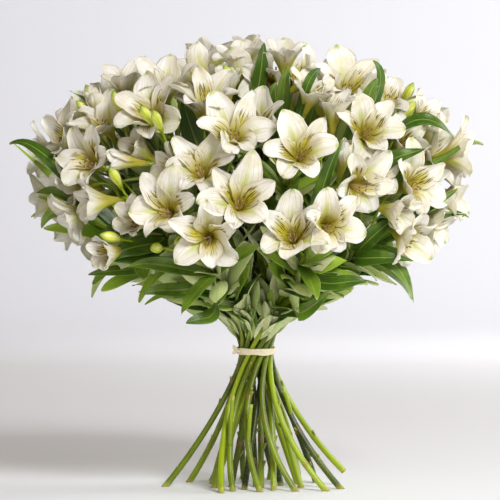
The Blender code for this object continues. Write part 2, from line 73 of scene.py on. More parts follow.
def turned(angle, first, second):
    # a pair of square vectors turned by an angle, the first one towards the second
    return np.cos(angle) * first + np.sin(angle) * second, np.cos(angle) * second - np.sin(angle) * first


def framesAlong(slopes, guide):
    # side and normal at each point: the guide laid flat across the path, and the cross product with it
    sides = unit(guide - slopes * np.sum(slopes * guide, axis=-1, keepdims=True))
    return sides, np.cross(slopes, sides)


def bezierPoints(control, shares):
    # points of Bezier curves, control points in the next to last axis: each is weighted by its Bernstein
    # polynomial, and the sum is a matrix product
    t = np.asarray(shares, float)[:, None]
    degree = np.shape(control)[-2] - 1
    order = np.arange(degree + 1)
    choose = np.array([math.comb(degree, i) for i in order])
    return (choose * t**order * (1 - t) ** (degree - order)) @ np.asarray(control, float)


def bezier(control, shares):
    # points, and unit tangents: these are the Bezier curve of the steps between control points
    steps = np.diff(np.asarray(control, float), axis=-2)
    return bezierPoints(control, shares), unit(bezierPoints(steps, shares))


# surfaces
plain = (0.0, 0.0, 0.0)  # the kind of a surface whose material reads no kind


def tubeSurface(points, place, kind, material, joined=False):
    # tubes from rings of points, shape (tubes, rings, points round, 3): neighbours round and along are
    # joined by quads, and each end is closed by a fan to its middle. joined closes a loop instead.
    count, rings, around = points.shape[:3]
    arrays = [np.broadcast_to(array, points.shape) for array in (points, place, kind)]
    flat = [array.reshape(-1, 3) for array in arrays]
    first = np.arange(count)[:, None, None] * rings * around
    row = np.arange(rings if joined else rings - 1)[None, :, None]
    column = np.arange(around)
    nextRow = (row + 1) % rings * around
    nextColumn = (column + 1) % around
    quads = stacked(
        first + row * around + column, first + row * around + nextColumn,
        first + nextRow + nextColumn, first + nextRow + column,
    ).reshape(-1, 4)
    if joined:
        return {"verts": flat, "quads": quads, "tris": np.zeros((0, 3), int), "material": material}
    ends = [np.stack([a[:, 0].mean(axis=1), a[:, -1].mean(axis=1)], axis=1).reshape(-1, 3) for a in arrays]
    middle = count * rings * around + np.arange(count)[:, None] * 2
    start, startNext = first[:, 0] + column, first[:, 0] + nextColumn
    last = (rings - 1) * around
    startFan = stacked(middle, startNext, start).reshape(-1, 3)
    endFan = stacked(middle + 1, start + last, startNext + last).reshape(-1, 3)
    verts = [np.concatenate(pair) for pair in zip(flat, ends)]
    return {"verts": verts, "quads": quads, "tris": np.concatenate([startFan, endFan]), "material": material}


def tubePoints(path, slopes, radii, around, guide, ribs=0, ribDepth=0.0):
    # rings of tubes: the path plus the radius times cosine and sine of the way round, with soft ribs
    sides, normals = framesAlong(slopes, guide)
    turn = evenTurns(around)
    reach = np.asarray(radii)[..., None, None] * (1 + ribDepth * np.cos(ribs * turn))[:, None]
    return path[..., None, :] + reach * turned(turn[:, None], sides[..., None, :], normals[..., None, :])[0]


def tubePlace(path, around):
    # pattern place on a tube without a seam: cosine and sine of the way round, and mm along the path
    steps = np.linalg.norm(np.diff(path, axis=-2), axis=-1)
    along = np.concatenate([np.zeros((*steps.shape[:-1], 1)), np.cumsum(steps, axis=-1)], axis=-1)
    return stacked(np.cos(evenTurns(around)), np.sin(evenTurns(around)), along[..., None])


def tube(path, slopes, radii, around, guide, kind, material, *ribs):
    # closed tubes along paths with a pattern place on them; slopes and radii may be shared by all
    slopes = np.broadcast_to(slopes, path.shape)
    points = tubePoints(path, slopes, np.broadcast_to(radii, path.shape[:-1]), around, guide, *ribs)
    return tubeSurface(points, tubePlace(path, around), kind, material)


def bladePoints(path, across, inward, sideways, height):
    # rings of blades: the path plus a part across the blade and a part square to it
    across, inward = across[:, :, None] * sideways[..., None], inward[:, :, None] * height[..., None]
    return path[:, :, None] + across + inward


def makePiece(name, surfaces, materials, nodes):
    # one mesh from several surfaces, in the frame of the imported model, standing for its CAD nodes
    verts, places, kinds = (np.concatenate([s["verts"][i] for s in surfaces]) for i in range(3))
    offsets = np.cumsum([0] + [len(s["verts"][0]) for s in surfaces[:-1]])
    quads = np.concatenate([s["quads"] + o for s, o in zip(surfaces, offsets)])
    tris = np.concatenate([s["tris"] + o for s, o in zip(surfaces, offsets)])
    used = [m for m in materials if any(s["material"] is m for s in surfaces)]
    indices = [used.index(s["material"]) for s in surfaces]
    counts = [len(s["quads"]) for s in surfaces] + [len(s["tris"]) for s in surfaces]
    starts = np.concatenate([np.arange(len(quads)) * 4, quads.size + np.arange(len(tris)) * 3])
    mesh = bpy.data.meshes.new(name)
    mesh.vertices.add(len(verts))
    mesh.vertices.foreach_set("co", (verts * metresPerMm).astype(np.float32).ravel())
    mesh.loops.add(quads.size + tris.size)
    mesh.loops.foreach_set("vertex_index", np.concatenate([quads.ravel(), tris.ravel()]).astype(np.int32))
    mesh.polygons.add(len(starts))
    mesh.polygons.foreach_set("loop_start", starts.astype(np.int32))
    mesh.polygons.foreach_set("material_index", np.repeat(indices * 2, counts).astype(np.int32))
    mesh.polygons.foreach_set("use_smooth", np.ones(len(starts), bool))
    for label, values in (("surfacePlace", places), ("surfaceKind", kinds)):
        attribute = mesh.attributes.new(label, "FLOAT_VECTOR", "POINT")
        attribute.data.foreach_set("vector", values.astype(np.float32).ravel())
    mesh.update(calc_edges=True)
    for material in used:
        mesh.materials.append(material)
    piece = bpy.data.objects.new(name, mesh)
    bpy.context.scene.collection.objects.link(piece)
    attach(piece, "root")
    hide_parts(*nodes)


# layout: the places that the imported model's own source gives to stalks and flowers
tie = {"height": 136.0, "width": 6.5, "thickness": 0.9, "tilt": math.radians(3.0), "knotAngle": 205.0}

# rings of stalks at the waist: how many, radius of the ring, lean, and where the first one stands
stalkRings = (
    (4, 4.0, math.radians(10.0), math.radians(-42.0)),
    (8, 9.3, math.radians(20.0), math.radians(-44.0)),
    (14, 14.6, math.radians(28.0), math.radians(-47.0)),
)
waistGap = 1.15  # between the outer stalks and the band
stalkRadius = 2.5
stalkSpan = 0.34  # of the way from waist to head: how far a stalk keeps its slope at either end

# where each stalk is cut: across, away from the viewer, height, ring by ring
cutEnds = (
    ((0, 0, 0), (-25, -7, 0), (5, -22, 0), (25, 5, 0)),
    (
        (20, 44, 0), (-12, 46, 0), (-44, 26, 0), (-42, -20, 0),
        (-12, -38, 0), (17, -46, 0), (45, -15, 0), (42, 25, 0),
    ),
    (
        (-14, 84, 0), (-45, 66, 0), (-68, 46, 0), (-91, -4, 0), (-34, -74, 0), (-23, -56, 0), (4, -64, 0),
        (39, -58, 0), (69, -54, 0), (84, -30, 0), (88, 2, 15), (61, 45, 0), (44, 66, 0), (14, 78, 0),
    ),
)

dome = {
    "middle": np.array([-8.0, 0.0, 235.0]), "halfWidth": 188.0, "halfDepth": 165.0, "halfHeight": 205.0,
    "nearestSeam": 27.0,  # the dome's surface comes no nearer to the plane between the two halves
    "ringDepths": (0.5, 1.0, 1.0),  # the innermost stalks' flowers crown the dome, half as far forward
    "headReach": 66.0,  # from a head's hub, where its flower stalks part, to the middle of its throats
}

# every head of the front half: its ring of stalks, then a row for each floret or bud: across, up, turn
# (90 is to the right), lift above level, how far it is open (0 is a bud, 1 is full), and how far it
# stands out of the dome
headRows = {
    "crownLeft": (0, (
        (-12, 402, 165, 50, 0.9, -6), (-16, 418, -30, 75, 0.7, 0), (-53, 404, -140, 40, 0.8, 0),
        (-28, 388, 0, 75, 0.35, 0), (-24, 400, -60, 50, 0.0, 8),
    )),
    "crownRight": (0, (
        (28, 417, 10, 80, 0.55, 0), (14, 396, -28, 4, 0.6, 4), (45, 404, 70, 35, 0.6, -4),
    )),
    "upperFarLeft": (1, (
        (-98, 364, -20, 35, 1.0, 0), (-88, 392, -10, 55, 1.0, 0), (-94, 352, -50, 50, 0.0, 22),
        (-84, 346, -35, 55, 0.0, 24), (-104, 386, -20, 64, 0.4, -16),
    )),
    "upperLeft": (1, (
        (-52, 312, -10, 35, 1.0, 0), (-21, 342, 5, 45, 1.0, 4), (-46, 376, -5, 55, 0.9, 0),
        (-83, 318, -60, 5, 0.8, -16), (-57, 385, -10, 62, 0.6, -18),
    )),
    "upperRight": (1, (
        (38, 322, 5, 22, 1.0, 12), (74, 362, 10, 70, 0.45, 0), (50, 380, 40, 60, 0.6, 0),
        (4, 366, -15, 38, 0.7, -16),
    )),
    "upperFarRight": (1, (
        (87, 391, 15, 50, 1.0, 0), (106, 350, 15, 20, 1.0, 0), (82, 318, 20, 60, 0.1, 0),
        (72, 391, 8, 62, 0.6, -20),
    )),
    "shoulderLeft": (2, (
        (-146, 357, -40, 50, 1.0, 0), (-152, 372, -60, 60, 0.2, 0), (-127, 390, -30, 72, 0.5, 0),
        (-170, 376, -70, 45, 0.0, 0), (-127, 371, -40, 62, 0.0, 14),
    )),
    "sideLeft": (2, (
        (-184, 346, -66, 25, 1.0, -2), (-174, 298, -85, -12, 0.8, 0), (-170, 272, -80, -32, 0.8, 0),
        (-138, 250, -60, 10, 0.0, 0), (-142, 236, -50, -8, 0.4, -8),
    )),
    "lowFarLeft": (2, (
        (-152, 318, -45, 18, 1.0, 8), (-118, 322, -70, 5, 0.2, 0), (-118, 340, -60, 30, 0.5, -18),
        (-144, 285, -75, -5, 0.5, 0), (-128, 303, -40, 50, 0.0, 10), (-122, 268, -45, 12, 0.5, -20),
    )),
    "lowLeft": (2, (
        (-84, 275, -25, 15, 1.0, 0), (-44, 250, -10, -5, 1.0, 6), (-16, 280, 0, 25, 1.0, 6),
        (-94, 240, -20, 0, 0.0, 0), (-72, 246, -10, 5, 0.0, 0),
    )),
    "lowRight": (2, (
        (35, 250, -5, 22, 1.0, 0), (64, 260, 20, 0, 1.0, 8), (96, 300, 35, -5, 1.0, 0),
    )),
    "lowFarRight": (2, (
        (148, 299, 45, 15, 1.0, 0), (126, 276, 55, -15, 0.5, 0), (142, 250, 55, -28, 1.0, 0),
        (186, 286, 80, 0, 0.7, 0), (170, 266, 70, -15, 0.8, -6), (120, 312, 35, 15, 0.5, -18),
    )),
    "sideRight": (2, (
        (128, 380, 45, 55, 1.0, 0), (140, 338, 50, 30, 0.7, 0), (168, 322, 60, 15, 1.0, 0),
        (188, 330, 85, 10, 0.8, 0), (150, 392, 45, 52, 0.0, 0), (164, 366, 62, 32, 0.7, -8),
    )),
}


def facing(turn, lift):
    # unit vector of a floret's axis from its two angles in degrees
    a, b = math.radians(turn), math.radians(lift)
    return np.array([math.sin(a) * math.cos(b), -math.cos(a) * math.cos(b), math.sin(b)])


def domePlace(across, up, out, ring):
    # the front of an ellipsoid: depth is half depth times sqrt(1 - (x / a)^2 - (z / c)^2)
    x, z = across - dome["middle"][0], up - dome["middle"][2]
    share = 1.0 - (x / dome["halfWidth"]) ** 2 - (z / dome["halfHeight"]) ** 2
    depth = dome["halfDepth"] * dome["ringDepths"][ring] * math.sqrt(max(share, 0.0))
    point = np.array([across, -max(dome["nearestSeam"], depth), up])
    return point + out * unit(point - dome["middle"])


def turnedHalfWay(places):
    # turned half way round the dome's upright axis, as the back half is
    return np.concatenate([2 * dome["middle"][:2] - places[..., :2], places[..., 2:]], axis=-1)


def planHeads():
    # throats, axes and hubs of both halves: a hub lies below the middle of its throats, towards the waist
    heads = []
    for half in ("front", "back"):
        for name, (ring, rows) in headRows.items():
            throats = np.array([domePlace(row[0], row[1], row[5], ring) for row in rows])
            axes = np.array([facing(row[2], row[3]) for row in rows])
            if half == "back":
                throats = turnedHalfWay(throats)
                axes[:, :2] *= -1.0
            middle = throats.mean(axis=0)
            rise = unit(middle - tie["height"] * upward)
            heads.append({
                "name": name, "half": half, "ring": ring, "throats": throats, "axes": axes,
                "opened": [row[4] for row in rows], "hub": middle - dome["headReach"] * rise, "rise": rise,
            })
    return heads


def planStalks(heads):
    # a stalk is a quadratic Bezier from its cut end to the waist, then a cubic one to its head;
    # both have the slope at the waist of a straight line that leans round the ring
    for ring, (count, radius, lean, turn) in enumerate(stalkRings):
        own = [head for head in heads if head["ring"] == ring]
        own.sort(key=lambda head: math.atan2(head["hub"][1], head["hub"][0]))
        for place, head in enumerate(own):
            angle = -math.pi + 2 * math.pi * (place + 0.5) / count + turn
            outward = np.array([math.cos(angle), math.sin(angle), 0.0])
            waist = radius * outward + tie["height"] * upward
            straight = radius * outward - tie["height"] * math.tan(lean) * np.cross(upward, outward)
            slope = unit(waist - straight)
            span = np.linalg.norm(head["hub"] - waist) * stalkSpan
            head["lower"] = (np.array(cutEnds[ring][place], float), (straight + waist) / 2, waist)
            head["upper"] = (waist, waist + slope * span, head["hub"] - head["rise"] * span, head["hub"])
            head["place"] = place
    heads.sort(key=lambda head: (head["ring"], head["place"]))


heads = planHeads()
planStalks(heads)
print("layout:", len(heads), "stalks,", sum(len(head["opened"]) for head in heads), "florets and buds")


# materials
def linearFromHex(text):
    # sRGB hex to linear: values under 0.04045 are divided by 12.92, the rest are ((v + 0.055) / 1.055)^2.4
    values = [int(text[i:i + 2], 16) / 255 for i in (1, 3, 5)]
    linear = [v / 12.92 if v <= 0.04045 else ((v + 0.055) / 1.055) ** 2.4 for v in values]
    return (*linear, 1.0)


def addNode(tree, kind, inputs=None, **settings):
    # one shader node with its settings and inputs: an input is another node's output, a number, a vector
    # or a colour as sRGB hex
    node = tree.nodes.new("ShaderNode" + kind)
    for name, value in settings.items():
        setattr(node, name, value)
    for name, value in (inputs or {}).items():
        if isinstance(value, bpy.types.NodeSocket):
            tree.links.new(value, node.inputs[name])
        else:
            node.inputs[name].default_value = linearFromHex(value) if isinstance(value, str) else value
    return node


def newMaterial(name, roughness, ior, glow=()):
    # a Principled material with its constants on its own sockets. glow is light that scatters inside: its
    # weight, how far red, green and blue go, and the scale of that in metres
    material = bpy.data.materials.new(name)
    material.use_nodes = True
    shader = material.node_tree.nodes["Principled BSDF"]
    shader.inputs["Roughness"].default_value = roughness
    shader.inputs["IOR"].default_value = ior
    for part, value in zip(("Weight", "Radius", "Scale"), glow):
        shader.inputs["Subsurface " + part].default_value = value
    return material


def surfaceValues(tree, name):
    # a vector that each point of a surface carries, and its three parts
    vector = addNode(tree, "Attribute", attribute_name=name).outputs["Vector"]
    return [vector, *addNode(tree, "SeparateXYZ", {0: vector}).outputs]


def grain(tree, place, stretch, detail, roughness=0.5):
    # noise around a half, on a place that is stretched along each axis first
    stretched = addNode(tree, "VectorMath", {0: place, 1: stretch}, operation="MULTIPLY").outputs[0]
    inputs = {"Vector": stretched, "Scale": 1.0, "Detail": detail, "Roughness": roughness}
    return addNode(tree, "TexNoise", inputs).outputs["Fac"]


def patches(tree, count, detail=2.0):
    # noise in the object's own coordinates, which are metres, with about so many patches to the metre
    place = addNode(tree, "TexCoord").outputs["Object"]
    return grain(tree, place, (count, count, count), detail)


def strongest(tree, ramps):
    # the largest of several ramps, each 0 at its start, at its most at its end, and level beyond
    total = 0.0
    for value, start, end, most, easing in ramps:
        inputs = {"Value": value, "From Min": start, "From Max": end, "To Max": most}
        ramp = addNode(tree, "MapRange", inputs, interpolation_type=easing).outputs["Result"]
        total = addNode(tree, "Math", {0: total, 1: ramp}, operation="MAXIMUM").outputs[0]
    return total


def paint(tree, under, layers, easing="LINEAR"):
    # colours laid over each other, each in the amount of its strength times its masks. A mask is a value,
    # or a value with the number where it starts to count and the number where it counts in full.
    colour = under
    for over, strength, *masks in layers:
        amount = strength
        for mask in masks:
            if isinstance(mask, tuple):
                inputs = dict(zip(("Value", "From Min", "From Max"), mask))
                mask = addNode(tree, "MapRange", inputs, interpolation_type=easing).outputs["Result"]
            amount = addNode(tree, "Math", {0: amount, 1: mask}, operation="MULTIPLY").outputs[0]
        colour = addNode(tree, "Mix", {0: amount, 6: colour, 7: over}, data_type="RGBA").outputs[2]
    return colour


def finishMaterial(material, colour, bump=None):
    # the painted colour and the bump go to the shader; the bump is its height, strength and depth in metres
    tree = material.node_tree
    shader = tree.nodes["Principled BSDF"]
    tree.links.new(colour, shader.inputs["Base Color"])
    if bump:
        node = addNode(tree, "Bump", dict(zip(("Height", "Strength", "Distance"), bump)))
        tree.links.new(node.outputs["Normal"], shader.inputs["Normal"])
    return material


def petalMaterial():
    # fresh alstroemeria petal: thin, moist tissue that glows where light comes through; fine veins run
    # lengthwise, inner petals carry an olive fan with brown dashes, outer ones a green midline and tip
    # the yellowed patch colour is painted shade, laid in random patches and towards each petal's base, where
    # light between the petals is dim and yellowed; the back colour is partly the petals' own tint, partly
    # painted shade
    colours = {
        "cream": "#F2F0E6", "patchAndPaintedShade": "#C8B95C", "throat": "#A89C22", "fan": "#B8AC2C",
        "midline": "#B2BE40", "tip": "#A3B83A", "dash": "#54400F", "vein": "#D0BF88", "back": "#C6B868",
    }
    # how many veins and dashes lie in a petal's half width and its length, and how far petals differ:
    # veins are about 1.3 mm apart, coarser than real ones, and dashes are under 1 by 8 mm
    veinStretch, dashStretch = (11.0, 1.3, 30.0), (12.5, 4.8, 60.0)
    clouds = 70.0  # to the metre: 14 mm across
    material = newMaterial("alstroemeria petal, fresh cut", 0.5, 1.4, (0.3, (1.0, 0.9, 0.55), 0.004))
    tree = material.node_tree
    place, across, along = surfaceValues(tree, "surfacePlace")[:3]
    inner, side = surfaceValues(tree, "surfaceKind")[1:3]
    offMiddle = addNode(tree, "Math", {0: across}, operation="ABSOLUTE").outputs[0]
    outer = addNode(tree, "Math", {0: inner, 1: 0.5}, operation="LESS_THAN").outputs[0]
    veins = grain(tree, place, veinStretch, 3.0)
    dashes = grain(tree, place, dashStretch, 0.0)
    soft = "SMOOTHSTEP"
    # painted shade: random patches, and a ramp that grows towards the petal's base
    toneAndPaintedShade = strongest(tree, (
        (patches(tree, clouds), 0.4, 0.68, 0.36, soft),
        (along, 0.86, 0.3, 0.95, soft),
    ))
    inside, outside = (side, -0.2, 0.2), (side, 0.2, -0.2)
    colour = paint(tree, colours["cream"], (
        # the yellowed painted shade over the cream
        (colours["patchAndPaintedShade"], 1.0, toneAndPaintedShade),
        (colours["vein"], 0.6, (veins, 0.48, 0.66)),
        # the petal backs towards base and middle: partly their own yellow tint, partly painted shade
        (colours["back"], 0.8, outside, (along, 0.95, 0.3), (offMiddle, 1.1, 0.2)),
        (colours["fan"], 0.95, inner, inside, (along, 0.78, 0.56), (offMiddle, 0.85, 0.3)),
        (colours["throat"], 0.9, (along, 0.56, 0.3)),
        (colours["midline"], 0.85, outer, (offMiddle, 0.3, 0.0), (along, 0.95, 0.5)),
        (colours["tip"], 0.85, outer, (along, 0.93, 0.985), (offMiddle, 0.7, 0.2)),
        (
            colours["dash"], 0.95, inner, inside, (dashes, 0.54, 0.63),
            (along, 0.3, 0.42), (along, 0.8, 0.66), (offMiddle, 0.92, 0.6),
        ),
    ), soft)
    return finishMaterial(material, colour, (veins, 0.55, 0.0008))


def stalkMaterial():
    # alstroemeria stem: smooth waxy skin with fine lengthwise fibres, yellow-green where young,
    # dark green where old, deepened nearly to black as painted shade among the stems, brown at the
    # scars of stripped leaves and pale where it is cut
    colours = {
        "old": "#152900", "young": "#92A80E", "fibre": "#C2CC48", "scar": "#8A5B34", "cut": "#B4AC52",
    }
    fibreStretch = (5.12, 5.12, 0.88)  # in a stem's radius and a millimetre: fibres 0.5 by 1.1 mm
    ageCount = 26.0  # to the metre: young and old skin change over 38 mm
    material = newMaterial("alstroemeria stem, fresh cut", 0.3, 1.45, (0.12, (0.5, 1.0, 0.2), 0.002))
    tree = material.node_tree
    place = surfaceValues(tree, "surfacePlace")[0]
    cut, young, scar = surfaceValues(tree, "surfaceKind")[1:]
    fibres = grain(tree, place, fibreStretch, 4.0, 0.6)
    moved = addNode(tree, "Math", {0: patches(tree, ageCount), 1: 0.5}, operation="SUBTRACT").outputs[0]
    # how yellow-green each spot is: the stalk's age, and at its dark end painted shade among the stems
    ageAndShade = addNode(tree, "Math", {0: young, 1: moved}, operation="ADD", use_clamp=True).outputs[0]
    colour = paint(tree, colours["old"], (
        (colours["young"], 1.0, ageAndShade),
        (colours["fibre"], 0.4, (fibres, 0.5, 0.8)),
        (colours["scar"], 1.0, scar),
        (colours["cut"], 1.0, cut),
    ))
    return finishMaterial(material, colour, (fibres, 0.4, 0.0004))


def leafMaterial():
    # alstroemeria leaf: smooth blade with parallel veins from end to end, dark and slightly glossy above,
    # paler and greyer beneath, with a dry beige tip
    colours = {
        "dark": "#345206", "bright": "#9DBB38", "under": "#ACBE72", "underBright": "#E2EBB2",
        "vein": "#A9BE58", "dry": "#C0A468",
    }
    veinsAcross = 26.0  # radians in half a leaf's width of 8 mm: ridges 2 mm apart, coarser than real ones
    clouds = 60.0  # to the metre: 17 mm across
    material = newMaterial("alstroemeria leaf, fresh", 0.36, 1.5, (0.15, (0.4, 1.0, 0.15), 0.002))
    tree = material.node_tree
    across, along = surfaceValues(tree, "surfacePlace")[1:3]
    side, bright = surfaceValues(tree, "surfaceKind")[1:3]
    around = {0: patches(tree, clouds, 3.0), 1: 0.7, 2: -0.35}
    moved = addNode(tree, "Math", around, operation="MULTIPLY_ADD").outputs[0]
    # each leaf's tone from dark to bright, at random and in patches; the dark tone of the showing leaves is
    # painted shade
    toneAndPaintedShade = addNode(tree, "Math", {0: bright, 1: moved}, operation="ADD", use_clamp=True).outputs[0]
    phase = addNode(tree, "Math", {0: across, 1: veinsAcross}, operation="MULTIPLY").outputs[0]
    wave = addNode(tree, "Math", {0: phase}, operation="SINE").outputs[0]
    offMiddle = addNode(tree, "Math", {0: across}, operation="ABSOLUTE").outputs[0]
    lines = strongest(tree, (
        (offMiddle, 0.12, 0.0, 0.5, "SMOOTHSTEP"),
        (wave, 0.3, 1.0, 0.09, "LINEAR"),
    ))
    above = paint(tree, colours["dark"], ((colours["bright"], 1.0, toneAndPaintedShade),))
    beneath = paint(tree, colours["under"], ((colours["underBright"], 1.0, toneAndPaintedShade),))
    colour = paint(tree, above, (
        (beneath, 1.0, (side, 0.15, -0.15)),
        (colours["vein"], 1.0, lines),
        (colours["dry"], 0.6, (along, 0.97, 1.0)),
    ))
    return finishMaterial(material, colour, (wave, 0.2, 0.0003))


def budMaterial():
    # closed bud: firm waxy petals folded over each other, yellow-green with green keels and tip
    colours = {"body": "#C9CF45", "keel": "#7E9D2C", "seam": "#E9E6B8"}
    material = newMaterial("alstroemeria bud, closed", 0.38, 1.42, (0.2, (1.0, 1.0, 0.3), 0.003))
    tree = material.node_tree
    along = surfaceValues(tree, "surfacePlace")[3]
    lobe = surfaceValues(tree, "surfaceKind")[1]
    green = strongest(tree, (
        (along, 0.78, 1.0, 1.0, "LINEAR"),
        (along, 0.25, 0.0, 1.0, "LINEAR"),
        (lobe, 0.55, 1.0, 0.75, "LINEAR"),
    ))
    colour = paint(tree, colours["body"], (
        (colours["seam"], 0.7, (lobe, -0.3, -1.0)),
        (colours["keel"], 1.0, green),
    ))
    return finishMaterial(material, colour)


def speckledMaterial(name, low, high, roughness, speckles):
    # a small part in two close tones with speckles, so many to the metre: a moist thread has a soft sheen
    # and speckles of 1 mm, and dry pollen has no sheen and grains of 0.4 mm
    material = newMaterial(name, roughness, 1.4)
    colour = paint(material.node_tree, low, ((high, 1.0, patches(material.node_tree, speckles)),))
    return finishMaterial(material, colour)


def bandMaterial():
    # raffia ribbon: flattened palm fibre, dry and matt, with lengthwise fibres about 0.7 mm apart
    colours = {"light": "#F7EFD6", "dark": "#DDCB9B"}
    material = newMaterial("raffia ribbon, flattened", 0.7, 1.45, (0.1, (1.0, 0.2, 0.1), 0.001))
    tree = material.node_tree
    fibres = grain(tree, surfaceValues(tree, "surfacePlace")[0], (1.0, 1.0, 1.0), 4.0, 0.65)
    colour = paint(tree, colours["light"], ((colours["dark"], 1.0, (fibres, 0.4, 0.68)),))
    return finishMaterial(material, colour, (fibres, 0.6, 0.0005))


petalCream = petalMaterial()
stemGreen = stalkMaterial()
leafGreen = leafMaterial()
budGreen = budMaterial()
filamentPink = speckledMaterial("flower thread, moist", "#E2D0A0", "#C08A70", 0.45, 900.0)
pollenBrown = speckledMaterial("pollen sac, dusty", "#8C7350", "#5A4530", 0.9, 2500.0)
raffia = bandMaterial()
print("materials made")


# flowers; where a setting has two values in a petal, they are the outer one's and the inner one's
flower = {
    "throatAt": 20.0,  # from the ovary to the throat, along the axis
    "rimAt": 39.0, "rimAtClosed": 47.0,
    "rimRadius": 36.5, "closedRadius": 7.5,
    "halfWidth": (15.4, 12.2),
    "claw": 0.26,  # width at the base of a petal, as a share of its widest
    "widestAt": 0.64,
    "point": (1.9, 1.4),  # a lower power gives a more pointed tip
    "flatRadius": (23.0, 16.0),  # hollow across the blade
    "thickness": 0.24, "ruffle": 2.7, "pleat": 0.6,
    "keel": 1.1,  # depth of the groove along the middle
    "size": (0.93, 1.09),  # smallest and largest floret
    "reachSpread": (0.86, 1.06), "tipSpread": (-7.0, 6.0), "widthSpread": (0.9, 1.1),
    "rollStray": 0.25, "stray": 0.05,  # how far chance turns a floret, and a petal in it
    "sway": 2.2, "twist": 0.32,
    "rows": 14, "around": 18,
}


def petalSurface(base, axis, roll, opened, random):
    # six petals at once. The midline is a cubic Bezier in distance from the flower's axis and in height;
    # across it a petal is an arc of a circle, which follows the tube at the claw and flattens to the tip.
    # A sine wave lifts the edges, and the width swells from the claw and closes as a superellipse.
    count = 6
    inner = np.arange(count) % 2
    turn = roll + np.arange(count) * math.pi / 3 + random.normal(0, flower["stray"], count)
    radial, tangent = turned(turn[:, None], *framesAlong(axis, upward))
    lowest = smooth(-0.3, -1.0, np.cos(turn))

    size = random.uniform(*flower["size"])
    reach = flower["closedRadius"] + (flower["rimRadius"] - flower["closedRadius"]) * opened
    reach = reach * size * (1.05 - 0.1 * inner + 0.1 * np.cos(turn))
    reach = reach * random.uniform(*flower["reachSpread"], count) * (0.45 + 0.55 * smooth(0.05, 0.5, opened))
    height = size * (flower["rimAt"] + (flower["rimAtClosed"] - flower["rimAt"]) * (1 - opened))
    tipHeight = height + 2.5 * inner + opened * (2.0 * np.cos(turn) - 5.0 * lowest)
    tipHeight = tipHeight - opened * random.uniform(*flower["tipSpread"], count)
    control = np.stack([
        np.tile([2.2, 5.0], (count, 1)),
        stacked(3.2 + 1.6 * opened - 0.5 * inner, (0.5 - 0.08 * opened) * height),
        stacked(8.5 + 5.5 * opened - 1.5 * inner, (0.74 + 0.1 * opened) * height),
        stacked(reach, tipHeight),
    ], axis=1)
    t = 1 - (1 - np.linspace(0.0, 0.985, flower["rows"])) ** 1.4
    middle, slope = bezier(control, t)
    sway = random.normal(0, flower["sway"], count)[:, None] * t**2
    path = base + radial[:, None] * middle[..., :1] + axis * middle[..., 1:]
    path = path + tangent[:, None] * sway[..., None]
    inward = axis * slope[..., :1] - radial[:, None] * slope[..., 1:]
    twist = (random.normal(0, flower["twist"], count)[:, None] * t * opened)[..., None]
    across, inward = turned(twist, tangent[:, None], inward)

    widest, claw = flower["widestAt"], flower["claw"]
    half = np.take(flower["halfWidth"], inner) * size * (0.62 + 0.38 * opened)
    half = half * random.uniform(*flower["widthSpread"], count)
    point = np.take(flower["point"], inner)[:, None]
    fall = 1 - np.clip((t - widest) / (1 - widest), 0, 1) ** point
    width = half[:, None] * (claw + (1 - claw) * smooth(0.05, widest, t)) * np.sqrt(fall)
    notch = random.uniform(*anyTurn, (2, count, 1))
    width = width * (1 + 0.04 * np.sin(14 * t + notch[0]) + 0.03 * np.sin(31 * t + notch[1]))
    flat = np.take(flower["flatRadius"], inner)[:, None]
    narrow = np.maximum(middle[..., 0], 2.0)
    hollow = (narrow + (flat - narrow) * smooth(0.3, 0.85, t) * opened**0.7)[..., None]

    phi = evenTurns(flower["around"])
    s = np.cos(phi)  # from edge to edge and back on the other side
    bend = s * (width[..., None] / hollow)
    wave = random.uniform(*anyTurn, (2, count))[:, :, None, None]
    down = t[:, None]
    ruffle = np.sin(9.0 * down + wave[0] + 1.4 * s) + 0.5 * np.sin(17.0 * down + wave[1])
    pleat = np.sin(7.5 * s + wave[0]) * smooth(0.35, 0.7, down) * (1 - s**4)
    lift = flower["ruffle"] * (0.3 + 0.7 * opened) * smooth(0.3, 0.75, down) * s**2 * ruffle
    lift = lift - flower["keel"] * np.exp(-((s / 0.22) ** 2)) * smooth(0.25, 0.5, down)
    lift = lift + flower["pleat"] * pleat + flower["thickness"] * np.sin(phi) * (1.3 - down)
    sideways = (hollow - lift) * np.sin(bend)
    points = bladePoints(path, across, inward, sideways, hollow * (1 - np.cos(bend)) + lift * np.cos(bend))
    marked = ((0.1 + 0.9 * inner) * (1 - 0.4 * lowest))[:, None, None]
    place = stacked(s, down, random.uniform(0, 1, count)[:, None, None])
    return tubeSurface(points, place, stacked(marked, np.sin(phi), 0.0), petalCream)


stamens = {
    "count": 6, "length": 31.0, "lengthSpread": (-3.5, 2.0), "threadRadius": 0.42,
    "pollenLength": 3.4, "pollenRadius": 0.75, "droop": 4.0, "stray": 0.2, "pollenStray": 0.45,
}


